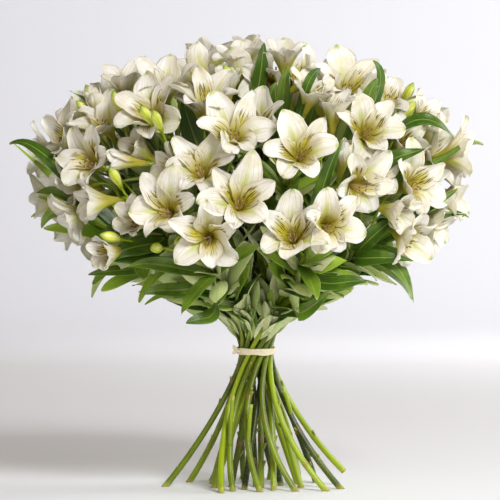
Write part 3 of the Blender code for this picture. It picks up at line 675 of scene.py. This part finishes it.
def stamenSurfaces(base, axis, roll, random):
    # threads are cubic Beziers that sag below the flower's axis and turn up again; each carries a pollen
    # sac, a short tube whose radius follows a half circle
    count = stamens["count"]
    up, side = framesAlong(axis, upward)
    turn = roll + 0.5 + evenTurns(count) + random.normal(0, stamens["stray"], count)
    spread = turned(turn[:, None], up, side)[0]
    end = stamens["length"] + random.uniform(*stamens["lengthSpread"], count)[:, None]
    droop = stamens["droop"] * up
    control = np.stack([
        base + axis * 7 + spread * 0.8,
        base + axis * 15 + spread * 1.6 - 0.3 * droop,
        base + axis * 0.82 * end + spread * 3.0 - 1.1 * droop,
        base + axis * end + spread * 4.2 - 0.6 * droop,
    ], axis=1)
    t = np.linspace(0, 1, 6)
    path, slopes = bezier(control, t)
    radii = stamens["threadRadius"] * (1.2 - 0.4 * t)
    lean = unit(slopes[:, -1] + random.normal(0, stamens["pollenStray"], (count, 3)))[:, None]
    u = np.linspace(-0.92, 0.92, 5)
    sac = path[:, -1:] + lean * (u[:, None] * stamens["pollenLength"] / 2)
    sacRadii = stamens["pollenRadius"] * np.sqrt(1 - u**2)
    return [
        tube(path, slopes, radii, 5, side, plain, filamentPink),
        tube(sac, lean, sacRadii, 6, up + 0.3 * side, plain, pollenBrown),
    ]


bud = {
    "length": 27.0, "from": 13.0, "size": (0.9, 1.04), "rows": 15, "around": 18, "lobeDepth": 0.09,
    "stations": (0.1, 0.18, 0.32, 0.5, 0.66, 0.8, 0.9, 0.96, 1.0),  # shares of the length
    "radii": (1.6, 2.4, 3.7, 5.0, 5.0, 3.9, 2.5, 1.5, 0.6),
}


def budSurface(base, axis, roll, random):
    # a closed bud: radius from a smooth profile along the axis, times one plus a cosine with three lobes
    # that wind slowly round it
    t = np.linspace(bud["stations"][0], 1.0, bud["rows"])
    size = random.uniform(*bud["size"])
    path = base + axis * (t * bud["length"] * size)[:, None]
    phi = evenTurns(bud["around"])
    lobe = np.cos(3 * phi + roll + 1.2 * t[:, None])
    radii = size * np.interp(t, bud["stations"], bud["radii"])[:, None] * (1 + bud["lobeDepth"] * lobe)
    ring = turned(phi[:, None], *framesAlong(axis, upward))[0]
    points = path[:, None] + radii[..., None] * ring
    place = stacked(np.cos(phi), np.sin(phi), t[:, None])
    kind = stacked(lobe, random.uniform(), 0.0)
    return tubeSurface(points[None], place, kind, budGreen)


pedicel = {
    "radius": 1.15, "rows": 12, "around": 12, "ribs": 6, "ribDepth": 0.1,
    "bend": 0.35,  # of its length: how far it keeps its slope at either end
    "ovaryAt": (1.0, 2.5, 4.2, 5.8, 7.2, 9.0), "ovaryRadii": (1.7, 2.45, 2.8, 2.75, 2.3, 1.4),
}


def pedicelSurface(head, throat, axis, opened):
    # flower stalk and ovary in one tube: a cubic Bezier from the hub, then straight up the flower's axis,
    # where the radius swells to the ovary and shrinks into the petals
    base = throat - axis * (flower["throatAt"] if opened > 0 else bud["from"])
    start = head["hub"] + head["rise"] * 1.5
    out = unit(unit(base - start) + 0.6 * head["rise"])
    span = pedicel["bend"] * np.linalg.norm(base - start)
    t = np.linspace(0, 1, pedicel["rows"])
    path, slopes = bezier([start, start + out * span, base - axis * span, base], t)
    ovary = np.array(pedicel["ovaryAt"])[:, None]
    path = np.concatenate([path, base + axis * ovary])[None]
    slopes = np.concatenate([slopes, np.tile(axis, (len(ovary), 1))])
    radii = np.concatenate([pedicel["radius"] * (1.0 + 0.25 * (1 - t) ** 3), pedicel["ovaryRadii"]])
    young = np.concatenate([0.55 + 0.45 * t, np.full(len(ovary), 0.8)])
    guide = np.array([0.3, 0.2, 1.0]) if abs(axis[2]) < 0.85 else np.array([1.0, 0.2, 0.1])
    kind = stacked(0.0, young, 0.0)[:, None]
    ribs = pedicel["ribs"], pedicel["ribDepth"]
    return base, tube(path, slopes, radii, pedicel["around"], guide, kind, stemGreen, *ribs)


hub = {"at": (0.4, 1.0, 2.0, 3.2, 4.4, 5.4), "radii": (2.2, 2.7, 2.9, 2.7, 2.0, 0.8), "around": 12}


def hubSurface(head):
    # the knob that the flower stalks leave: a short tube with a round profile
    path = (head["hub"] + head["rise"] * np.array(hub["at"])[:, None])[None]
    guide = np.array([1.0, 0.3, 0.2])
    return tube(path, head["rise"], hub["radii"], hub["around"], guide, (0.0, 0.6, 0.0), stemGreen)


def makeHead(number, head):
    # a floret has petals and, once it is half open, stamens
    random = np.random.default_rng(randomSeed + number)
    surfaces = [hubSurface(head)]
    for throat, axis, opened in zip(head["throats"], head["axes"], head["opened"]):
        base, stalk = pedicelSurface(head, throat, axis, opened)
        surfaces.append(stalk)
        roll = random.normal(0, flower["rollStray"])
        if opened <= 0:
            surfaces.append(budSurface(base, axis, roll, random))
            continue
        surfaces.append(petalSurface(base, axis, roll, opened, random))
        if opened >= 0.5:
            surfaces += stamenSurfaces(base, axis, roll, random)
    materials = (petalCream, stemGreen, budGreen, filamentPink, pollenBrown)
    makePiece(f"flowerHead{number:02d}", surfaces, materials, [f"flower_head_{number:02d}"])


for number, head in enumerate(heads, start=1):
    makeHead(number, head)
print("flower heads made")


# leaves and stalks
leaf = {
    "rows": 15, "around": 12, "thickness": 0.2, "breadth": 1.22, "fold": 0.26, "wave": 1.2, "twist": 0.4,
    "turnedShare": 0.3,  # how many show their paler side
    "bright": (0.46, 0.34),  # middle and spread of the tone, from dark to bright
}
# the leaves that show between the flowers, and those in the seam, get a dark tone: painted shade, as they
# stand deep among the flowers
showingLeaf = {**leaf, "turnedShare": 0.0, "bright": (0.08, 0.12), "twist": 0.5}
leafTip = {"neighbours": 4, "angleSum": 2.4, "shortest": 5.0}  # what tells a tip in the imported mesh


def findLeaves(name, head):
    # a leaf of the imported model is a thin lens. Its tip is the only kind of point with four neighbours and
    # a small sum of angles; the four are the edges and the faces of the leaf at its middle.
    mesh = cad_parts[name].data
    corners = np.empty(len(mesh.loops), np.int32)
    mesh.loops.foreach_get("vertex_index", corners)
    raw = np.empty(len(mesh.vertices) * 3, np.float32)
    mesh.vertices.foreach_get("co", raw)
    grid = 0.005  # mm: points closer than this are one
    cells = np.round(raw.reshape(-1, 3) / metresPerMm / grid).astype(int)
    cells, which = np.unique(cells, axis=0, return_inverse=True)
    points = cells * grid
    triangles = which.reshape(-1)[corners].reshape(-1, 3)
    corner = points[triangles]
    forward = unit(np.roll(corner, -1, axis=1) - corner + 1e-9)
    backward = unit(np.roll(corner, 1, axis=1) - corner + 1e-9)
    angles = np.arccos(np.clip(np.sum(forward * backward, axis=-1), -1, 1))
    angleSum = np.bincount(triangles.ravel(), angles.ravel(), len(points))
    edges = np.concatenate([triangles[:, [0, 1]], triangles[:, [1, 2]], triangles[:, [2, 0]]])
    edges = np.unique(np.sort(edges, axis=1), axis=0)
    neighbours = np.bincount(edges.ravel(), minlength=len(points))
    tips = np.where((neighbours == leafTip["neighbours"]) & (angleSum < leafTip["angleSum"]))[0]
    ring = points[[edges[(edges == tip).any(axis=1)].sum(axis=1) - tip for tip in tips]]

    # the neighbour that is farthest from the first one lies opposite; the wider of the two pairs is the edges
    opposite = 1 + np.argmax(np.linalg.norm(ring[:, :1] - ring[:, 1:], axis=-1), axis=1)
    order = np.array([[0, far, *(k for k in (1, 2, 3) if k != far)] for far in opposite])
    pairs = np.take_along_axis(ring, order[..., None], axis=1).reshape(-1, 2, 2, 3)
    spans = pairs[:, :, 0] - pairs[:, :, 1]
    wider = np.argmax(np.linalg.norm(spans, axis=-1), axis=1)
    rows = np.arange(len(tips))
    wide, thin = spans[rows, wider], spans[rows, 1 - wider]
    middle, tip = pairs[rows, wider].mean(axis=1), points[tips]
    slope = unit(np.cross(wide, thin))
    slope *= np.sign(np.sum(slope * (tip - middle), axis=-1, keepdims=True))

    # the base is where the leaf's own line, drawn back from its tip, comes nearest to the stalk
    samples = bezierPoints(head["upper"], np.linspace(0, 1, 200))
    reach = np.sum((tip[:, None] - samples) * slope[:, None], axis=-1)
    miss = np.linalg.norm(tip[:, None] - reach[..., None] * slope[:, None] - samples, axis=-1)
    base = samples[np.argmin(np.where(reach > leafTip["shortest"], miss, np.inf), axis=1)]
    control = np.stack([base, 2 * middle - (base + tip) / 2, tip], axis=1)
    return control, np.linalg.norm(wide, axis=-1), unit(wide)


def leafSurface(material, random, settings, control, widths, across, upper=upward):
    # blades along Beziers: half the width follows a sine that leans to the base, the blade is folded along
    # its middle, turns about its middle on the way to the tip, and its edges wave. upper is the side that
    # the darker face looks to.
    count = len(control)
    t = 1 - (1 - np.linspace(0.0, 0.99, settings["rows"])) ** 1.25
    path, slopes = bezier(control, t)
    sides, normals = framesAlong(slopes, across[:, None])
    down = np.sign(normals[:, len(t) // 2] @ upper)
    down = (down * np.where(random.uniform(size=count) < settings["turnedShare"], -1, 1))[:, None, None]
    twist = (random.normal(0, settings["twist"], count)[:, None] * (t - 0.3))[..., None]
    sides, normals = turned(twist, sides * down, normals * down)
    outline = np.maximum(np.sin(math.pi * t**0.84) ** 0.7, 0.14 * (1 - t))
    width = (settings["breadth"] * widths[:, None] / 2 * outline)[..., None]
    phi = evenTurns(settings["around"])
    s = np.cos(phi)  # from edge to edge and back on the other side
    fold = settings["fold"] * random.uniform(0.4, 1.6, count)[:, None, None]
    wave = random.uniform(*anyTurn, count)[:, None, None]
    edge = settings["wave"] * s**2 * np.sin(8 * t[:, None] + wave + 1.2 * s) * smooth(0.1, 0.4, t)[:, None]
    height = np.sqrt(s**2 + 0.02) * width * np.sin(fold) + edge + settings["thickness"] * np.sin(phi)
    points = bladePoints(path, sides, normals, s * width * np.cos(fold), height)
    place = stacked(s, t[:, None], random.uniform(size=count)[:, None, None])
    bright = np.clip(random.normal(*settings["bright"], count), 0, 1)[:, None, None]
    return tubeSurface(points, place, stacked(np.sin(phi), bright, 0.0), material)


stalk = {
    "lowRows": 30, "highRows": 26, "around": 14, "ribs": 5, "ribDepth": 0.045,
    # how thick it is along the way: 0 at the cut end, 1 at the waist and 2 at the head
    "swellAt": (0.0, 0.5, 1.0, 1.13, 1.38, 1.68, 2.0),
    "swell": (1.24, 1.14, 1.0, 1.0, 0.98, 0.94, 0.9),
    "joints": 3, "jointSpan": (0.12, 0.9),
    "jointSwell": 0.1,  # how much a stalk thickens where a leaf was
    "jointReach": 0.02, "scarReach": 0.006,
}


def stalkSurface(head, random):
    # a tube along the two Beziers of the stalk, its radius raised by a Gaussian at each old leaf joint;
    # the cut ring is slid along the stalk until it is level with the ground
    low = np.concatenate([[0.0, 0.035], np.linspace(0.06, 1.0, stalk["lowRows"])])
    high = np.linspace(0.0, 1.0, stalk["highRows"])[1:]
    path, slopes = np.concatenate([bezier(head["lower"], low), bezier(head["upper"], high)], axis=1)
    share = np.concatenate([low, 1 + high])
    joints = np.sort(random.uniform(*stalk["jointSpan"], stalk["joints"]))
    offJoints = share[:, None] - joints
    swell = np.interp(share, stalk["swellAt"], stalk["swell"])
    swell = swell + stalk["jointSwell"] * np.exp(-((offJoints / stalk["jointReach"]) ** 2)).sum(axis=1)
    ribs = stalk["ribs"], stalk["ribDepth"]
    points = tubePoints(path, slopes, stalkRadius * swell, stalk["around"], rightward, *ribs)
    if path[0, 2] == 0.0:
        points[0] -= slopes[0] * (points[0, :, 2:] / slopes[0, 2])
    # each stalk's tone at random, spread wide so that some stalks go dark as painted shade, and lighter
    # towards the cut end
    young = np.clip(random.normal(0.45, 0.34) + 0.2 * (1 - share), 0.0, 1.0)
    scar = random.uniform(0.3, 0.9) * np.exp(-((offJoints / stalk["scarReach"]) ** 2)).sum(axis=1)
    kind = stacked(share == 0.0, young, np.clip(scar, 0, 1))[:, None]
    return tubeSurface(points[None], tubePlace(path, stalk["around"]), kind, stemGreen), joints


stub = {"length": (3.0, 7.0), "radius": 1.25, "lean": 0.55, "buried": 2.0, "rows": 5, "around": 8}


def stubSurface(head, joints, random):
    # stumps of stripped side shoots: short tapered tubes that leave the stalk upwards, cut off square
    count = len(joints)
    base, slope = bezier(head["lower"], joints)
    turn = random.uniform(*anyTurn, count)[:, None]
    out = turned(turn, *framesAlong(slope, rightward))[0]
    lean = unit(slope + stub["lean"] * out)[:, None]
    t = np.linspace(0, 1, stub["rows"])
    length = stub["buried"] + random.uniform(*stub["length"], count)[:, None, None]
    path = (base + out * stalkRadius / 2)[:, None] + lean * t[:, None] * length
    kind = stacked(0.6 * (t == 1.0), 0.55, 0.7 * smooth(0.6, 1.0, t))[:, None]
    radii = stub["radius"] * (1.25 - 0.4 * t)
    return tube(path, lean, radii, stub["around"], np.array([1.0, 0.2, 0.0]), kind, stemGreen)


def leaningLeaves(head, shares, guide, turn, settings, random):
    # blades that rise from the stalk at a small lean and lean out more in their second half. Away is the
    # guide laid flat across the stalk and then turned about it.
    base, slope = bezier(head["upper"], shares)
    away = turned(turn[:, None], *framesAlong(slope, guide))[0]
    lean = random.uniform(*settings["lean"], len(shares))[:, None]
    half = random.uniform(*settings["length"], len(shares))[:, None] / 2
    middle = base + half * turned(lean, slope, away)[0]
    tip = middle + half * turned(lean + settings["bend"], slope, away)[0]
    widths = random.uniform(*settings["width"], len(shares))
    return np.stack([base, middle, tip], axis=1), widths, np.cross(away, slope)


inside = {
    "count": 15, "span": (0.26, 0.93), "length": (40.0, 62.0), "width": (13.0, 19.0), "lean": (0.15, 0.65),
    "bend": 0.4, "turn": 2.4,
}


def innerLeaves(head, random):
    # leaves close to the stalk: bases spaced evenly along it, each turned on by the golden angle
    turn = np.arange(inside["count"]) * inside["turn"] + random.uniform(*anyTurn)
    shares = np.linspace(*inside["span"], inside["count"])
    return leaningLeaves(head, shares, rightward, turn, inside, random)


lowLeaves = {
    "count": (0, 2, 5), "span": (0.05, 0.24), "length": (34.0, 56.0), "width": (10.0, 15.0),
    "lean": (0.08, 0.32), "bend": 0.3, "stray": 0.6,
}


def leavesAtWaist(head, random):
    # leaves just above the tie, which lean away from the middle of the bouquet but for a random turn
    count = lowLeaves["count"][head["ring"]]
    shares = random.uniform(*lowLeaves["span"], count)
    turn = random.normal(0, lowLeaves["stray"], count)
    outward = bezierPoints(head["upper"], shares) * (1.0, 1.0, 0.0)
    return leaningLeaves(head, shares, outward, turn, lowLeaves, random)


# leaves that show between the flowers: two points that the blade bends towards and its tip, each across,
# away from the viewer and up, then the width
showingLeaves = {
    "sideLeft": (
        ((-196, -60, 318), (-219, -40, 352), (-245, -20, 342), 14),
        ((-180, -50, 290), (-198, -40, 300), (-219, -30, 293), 11),
        ((-178, -60, 286), (-204, -50, 284), (-211, -50, 258), 13),
    ),
    "lowFarLeft": (
        ((-112, -90, 268), (-140, -105, 262), (-160, -95, 234), 17),
        ((-100, -90, 222), (-130, -110, 236), (-156, -105, 230), 15),
        ((-90, -90, 236), (-130, -120, 250), (-146, -110, 222), 16),
        ((-100, -70, 208), (-135, -80, 222), (-164, -75, 213), 12),
    ),
    "lowLeft": (
        ((-70, -110, 214), (-100, -130, 232), (-123, -125, 221), 15),
        ((-64, -90, 186), (-88, -110, 206), (-110, -110, 195), 14),
        ((-30, -90, 160), (-50, -105, 176), (-68, -105, 167), 14),
    ),
    "sideRight": (
        ((128, -95, 366), (164, -105, 382), (193, -75, 345), 15),
        ((112, -105, 326), (136, -115, 326), (164, -95, 336), 15),
        ((170, -60, 318), (192, -50, 330), (208, -40, 345), 8),
    ),
    "lowFarRight": (
        ((160, -70, 276), (182, -70, 284), (198, -60, 298), 9),
        ((176, -50, 272), (196, -40, 280), (211, -30, 269), 9),
        ((96, -90, 236), (140, -95, 244), (153, -85, 186), 18),
        ((92, -100, 226), (124, -110, 234), (153, -100, 227), 14),
        ((100, -100, 240), (118, -110, 256), (138, -100, 272), 15),
    ),
    "lowRight": (
        ((62, -140, 290), (66, -160, 316), (82, -155, 343), 13),
        ((60, -100, 190), (90, -115, 214), (107, -110, 206), 14),
        ((20, -50, 150), (50, -70, 176), (72, -70, 198), 17),
    ),
    "crownLeft": (((8, -60, 400), (4, -72, 416), (8, -74, 440), 13),),
    "crownRight": (
        ((28, -90, 380), (24, -100, 396), (31, -100, 416), 12),
        ((14, -90, 374), (8, -98, 386), (20, -98, 400), 11),
    ),
    "upperLeft": (((-52, -70, 330), (-64, -76, 350), (-72, -70, 388), 20),),
    "upperRight": (
        ((44, -110, 398), (52, -118, 408), (62, -112, 412), 10),
        ((50, -70, 350), (56, -70, 372), (60, -66, 394), 18),
    ),
    "upperFarRight": (
        ((112, -80, 370), (106, -92, 392), (118, -92, 404), 14),
        ((122, -80, 376), (130, -88, 410), (113, -86, 422), 9),
    ),
    "shoulderLeft": (((-150, -10, 380), (-166, -16, 384), (-184, -40, 394), 7),),
}
showingFrom = 0.95  # where these leaves leave the stalk, as a share of the way from the waist to its head


def leavesThatShow(head):
    # cubic Beziers from the top of the stalk; a blade is turned broadside to the viewer, a little upwards
    rows = showingLeaves[head["name"]]
    points = np.array([row[:3] for row in rows], float)
    upper = np.array([0.0, -0.9, 0.5])
    if head["half"] == "back":
        points, upper = turnedHalfWay(points), upper * (1.0, -1.0, 1.0)
    base = bezierPoints(head["upper"], [showingFrom] * len(rows))[:, None]
    across = np.cross(upper, points[:, 2] - points[:, 0])
    widths = np.array([row[3] for row in rows], float)
    return np.concatenate([base, points], axis=1), widths, across, upper


# leaves that stand in the seam between the two halves: where their tips are, across and up
seamLeaves = {
    "crownLeft": ((-66, 406), (-50, 412), (-36, 416), (-16, 420), (-2, 412)),
    "crownRight": ((8, 414), (20, 420), (32, 416), (46, 412), (62, 406)),
    "upperFarLeft": ((-122, 376), (-104, 390), (-86, 400)),
    "upperFarRight": ((78, 402), (96, 394), (112, 384)),
    "shoulderLeft": ((-164, 332), (-150, 350), (-138, 364)),
    "sideRight": ((126, 374), (140, 358), (156, 336)),
}
seam = {"from": 0.9, "stray": 15.0, "bend": 0.55, "width": (16.0, 22.0)}


def leavesInSeam(head, random):
    # quadratic Beziers that lean to the plane between the halves and rise upright there, broadside to
    # whoever looks along that plane
    tips = np.array(seamLeaves[head["name"]], float)
    count = len(tips)
    tip = stacked(tips[:, 0], 0.0, tips[:, 1])
    upper = np.array([1.0, 0.0, 0.3])
    if head["half"] == "back":
        tip, upper = turnedHalfWay(tip), upper * (-1.0, 1.0, 1.0)
    tip[:, 1] = random.uniform(-seam["stray"], seam["stray"], count)
    base = bezierPoints(head["upper"], [seam["from"]] * count)
    middle = stacked(tip[:, 0], tip[:, 1], base[:, 2] + seam["bend"] * (tip[:, 2] - base[:, 2]))
    across = np.cross(upper, tip - middle + 0.01)
    return np.stack([base, middle, tip], axis=1), random.uniform(*seam["width"], count), across, upper


# side shoots that were cut off: where one leaves a stalk and where it ends, across and up
prunedShoots = (
    ((-22.0, 54.0), (-3.0, 104.0)),
    ((-24.0, 40.0), (-23.0, 93.0)),
    ((-7.0, 46.0), (-5.0, 85.0)),
    ((38.0, 72.0), (27.0, 98.0)),
)
shoot = {"radius": 2.0, "forward": 3.0, "bend": (0.35, 0.6, 0.55), "rows": 9, "around": 10}


def placeShoots():
    # each shoot belongs to the stalk that passes nearest to its start, on the viewer's side
    paths = np.stack([bezierPoints(head["lower"], np.linspace(0.02, 0.98, 60)) for head in heads])
    tooDeep = 0.4 * np.maximum(paths[..., 1] + 20, 0)
    for head in heads:
        head["shoots"] = []
    for start, end in prunedShoots:
        miss = np.linalg.norm(paths[..., [0, 2]] - np.array(start), axis=-1) + tooDeep
        which, step = np.unravel_index(np.argmin(miss), miss.shape)
        base = paths[which, step]
        heads[which]["shoots"].append((base, np.array([end[0], base[1] - shoot["forward"], end[1]])))


def shootSurface(base, tip):
    # a quadratic Bezier that leaves the stalk steeply and is cut off square
    t = np.linspace(0, 1, shoot["rows"])
    path, slopes = bezier([base, base + (tip - base) * shoot["bend"], tip], t)
    kind = stacked(0.7 * (t > 0.99), 0.6, 0.4 * smooth(0.9, 1.0, t))[:, None]
    radii = shoot["radius"] * (1.08 - 0.1 * t)
    return tube(path[None], slopes, radii, shoot["around"], rightward, kind, stemGreen)


def makeLeafyStem(number, head):
    # a stalk with its stumps and shoots, and one surface for each set of its leaves
    random = np.random.default_rng(randomSeed * 3 + number)
    name = f"leafy_stalk_{number:02d}"
    stem, joints = stalkSurface(head, random)
    surfaces = [stem, stubSurface(head, joints, random)]
    surfaces += [shootSurface(*ends) for ends in head["shoots"]]
    sets = [findLeaves(name, head), innerLeaves(head, random)]
    if lowLeaves["count"][head["ring"]] > 0:
        sets.append(leavesAtWaist(head, random))
    for leaves in sets:
        surfaces.append(leafSurface(leafGreen, random, leaf, *leaves))
    if head["name"] in showingLeaves:
        surfaces.append(leafSurface(leafGreen, random, showingLeaf, *leavesThatShow(head)))
    if head["name"] in seamLeaves:
        surfaces.append(leafSurface(leafGreen, random, showingLeaf, *leavesInSeam(head, random)))
    makePiece(f"leafyStem{number:02d}", surfaces, (stemGreen, leafGreen), [name])


placeShoots()
for number, head in enumerate(heads, start=1):
    makeLeafyStem(number, head)
print("leafy stems made")


# the tie
band = {
    "innerRadius": stalkRings[2][1] + stalkRadius + waistGap, "rows": 96, "around": 20,
    "square": 0.6,  # power of the superellipse
    "crease": 0.1, "wander": 0.2, "uneven": 0.25, "fibreStretch": (3.0, 3.0, 1.5),
}
knot = {
    "at": (-3.4, -2.6, -1.4, 0.0, 1.4, 2.6, 3.4), "radii": (0.6, 1.5, 1.9, 1.5, 1.9, 1.5, 0.6),
    "proud": 0.9, "up": 0.4, "around": 14, "ribs": 4, "ribDepth": 0.08, "fibreStretch": 0.8,
}
tails = {
    "ends": ((0.9, 8.0), (-0.35, 6.5)),  # how steeply each rises and how far it reaches
    "widths": (4.6, 4.0), "sag": 1.2, "fibreStretch": (3.0, 1.0, 1.0),
    "rows": 12, "around": 10, "thickness": 0.3, "breadth": 1.0, "fold": 0.35, "wave": 0.25, "twist": 0.5,
    "turnedShare": 0.0, "bright": (0.4, 0.28),
}


def bandPoint(angle, radius, height):
    # a point of the band, which hangs a little lower at the front
    x, y = radius * np.cos(angle), radius * np.sin(angle)
    return stacked(x, y, tie["height"] + height + y * math.tan(tie["tilt"]))


def bandSurface():
    # a flat superellipse carried round a circle, with creases along it
    angle, phi = evenTurns(band["rows"])[:, None], evenTurns(band["around"])
    high = np.sign(np.cos(phi)) * np.abs(np.cos(phi)) ** band["square"]
    deep = np.sign(np.sin(phi)) * np.abs(np.sin(phi)) ** band["square"]
    wander = band["wander"] * (np.sin(3 * angle + 1.0) + 0.6 * np.sin(7 * angle))
    crease = band["crease"] * np.sin(9.0 * high + 1.5 * np.sin(2 * angle)) * (deep > 0)
    radius = band["innerRadius"] + tie["thickness"] * (0.5 + 0.5 * deep) + crease
    height = high * (tie["width"] / 2 + band["uneven"] * np.sin(5 * angle + 0.7)) + wander
    place = stacked(np.cos(angle), np.sin(angle), height) * band["fibreStretch"]
    return tubeSurface(bandPoint(angle, radius, height)[None], place, plain, raffia, joined=True)


def makeTie():
    # the band, the knot as a short fat tube across its left end, and its tails as narrow folded strips
    turn = math.radians(tie["knotAngle"])
    out = np.array([math.cos(turn), math.sin(turn), 0.0])
    along = np.cross(upward, out)
    middle = bandPoint(turn, band["innerRadius"] + tie["thickness"] + knot["proud"], knot["up"])
    path = (middle + along * np.array(knot["at"])[:, None])[None]
    ribs = knot["ribs"], knot["ribDepth"]
    twists = tube(path, along, knot["radii"], knot["around"], upward, plain, raffia, *ribs)
    twists["verts"][1] = twists["verts"][1] * knot["fibreStretch"]

    reaches = [unit(0.5 * out - 0.55 * along + rise * upward) * reach for rise, reach in tails["ends"]]
    ends = middle + np.array(reaches)
    middles = np.broadcast_to(middle, ends.shape)
    control = np.stack([middles, (middles + ends) / 2 + tails["sag"] * out, ends], axis=1)
    random = np.random.default_rng(randomSeed * 7)
    across = np.array([upward, upward]) + 0.1
    strips = leafSurface(raffia, random, tails, control, np.array(tails["widths"]), across)
    strips["verts"][1] = strips["verts"][1] * tails["fibreStretch"]
    makePiece("tieBand", [bandSurface(), twists, strips], (raffia,), ["tie_band"])


makeTie()
print("tie band made")


# floor, light and camera
stage = {
    "floorRings": (0.3, 1.2, 3.0), "flatRadius": 4.7, "curveRadius": 6.0, "wallTop": 6.4,  # metres
    "curveRows": 16, "around": 96, "floor": "#EFF0F4", "air": "#FFE8CC", "airStrength": 0.19,
}
flowersMiddle = (0.0, 0.0, 0.25)
lamps = {  # where a lamp is, what it faces, its size in metres, its power in watts and its colour
    "keyLight": ((1.05, -2.5, 1.76), flowersMiddle, 0.9, 94.0, "#FCFCFF"),
    "fillLight": ((2.4, 0.6, 0.9), flowersMiddle, 1.6, 44.0, "#FFFDF8"),
    "frontLight": ((-1.6, -2.6, 0.45), flowersMiddle, 1.2, 12.0, "#FFF0DA"),
    "backLight": ((2.9, 3.6, 4.6), (2.6, 8.2, 3.6), 3.5, 412.0, "#F8FAFF"),
    "floorLight": ((0.75, 2.8, 1.5), (0.75, 2.79, 0.0), 0.9, 17.0, "#FFFFFF"),
}
viewpoint = {"place": (-0.006, -3.0, 0.27), "aim": (-0.006, 0.0, 0.2365), "lens": 216.0, "sensor": 36.0}


def makeStage():
    # a floor that curves up into a wall all round: a profile of height over radius, turned about upright
    bend = np.linspace(0, math.pi / 2, stage["curveRows"])
    curve = stage["flatRadius"] + stage["curveRadius"] * np.sin(bend)
    rise = stage["curveRadius"] * (1 - np.cos(bend))
    radius = np.concatenate([stage["floorRings"], curve, curve[-1:]])[:, None]
    height = np.concatenate([np.zeros(len(stage["floorRings"])), rise, [stage["wallTop"]]])[:, None]
    around = stage["around"]
    turn = evenTurns(around)
    rings = stacked(radius * np.cos(turn), radius * np.sin(turn), height).reshape(-1, 3)
    columns = np.arange(around)
    nextColumns = (columns + 1) % around
    first = np.arange(len(radius) - 1)[:, None] * around
    after = first + around
    quads = stacked(first + columns, after + columns, after + nextColumns, first + nextColumns).reshape(-1, 4)
    centre = stacked(len(rings), columns, nextColumns)
    faces = quads.tolist() + centre.tolist()
    mesh = bpy.data.meshes.new("studioFloor")
    mesh.from_pydata(rings.tolist() + [[0.0, 0.0, 0.0]], [], faces)
    mesh.polygons.foreach_set("use_smooth", np.ones(len(faces), bool))
    material = newMaterial("studio floor, matt paint", 0.85, 1.45)
    shader = material.node_tree.nodes["Principled BSDF"]
    shader.inputs["Base Color"].default_value = linearFromHex(stage["floor"])
    mesh.materials.append(material)
    floor = bpy.data.objects.new("studioFloor", mesh)
    bpy.context.scene.collection.objects.link(floor)


def aimed(name, data, place, aim):
    # a lamp or camera at a place, turned to face the point that it aims at
    item = bpy.data.objects.new(name, data)
    item.location = place
    item.rotation_euler = (Vector(aim) - Vector(place)).to_track_quat("-Z", "Y").to_euler()
    bpy.context.scene.collection.objects.link(item)
    return item


makeStage()
for name, (place, aim, size, power, colour) in lamps.items():
    softBox = bpy.data.lights.new(name, "AREA")
    softBox.shape = "SQUARE"
    softBox.size = size
    softBox.energy = power
    softBox.color = linearFromHex(colour)[:3]
    aimed(name, softBox, place, aim)
world = bpy.data.worlds.new("studio air")
world.use_nodes = True
background = world.node_tree.nodes["Background"]
background.inputs["Color"].default_value = linearFromHex(stage["air"])
background.inputs["Strength"].default_value = stage["airStrength"]
bpy.context.scene.world = world
bpy.context.scene.view_settings.view_transform = "Standard"

cameraData = bpy.data.cameras.new("camera")
cameraData.lens = viewpoint["lens"]
cameraData.sensor_width = viewpoint["sensor"]
bpy.context.scene.camera = aimed("camera", cameraData, viewpoint["place"], viewpoint["aim"])
print("floor, light and camera made")
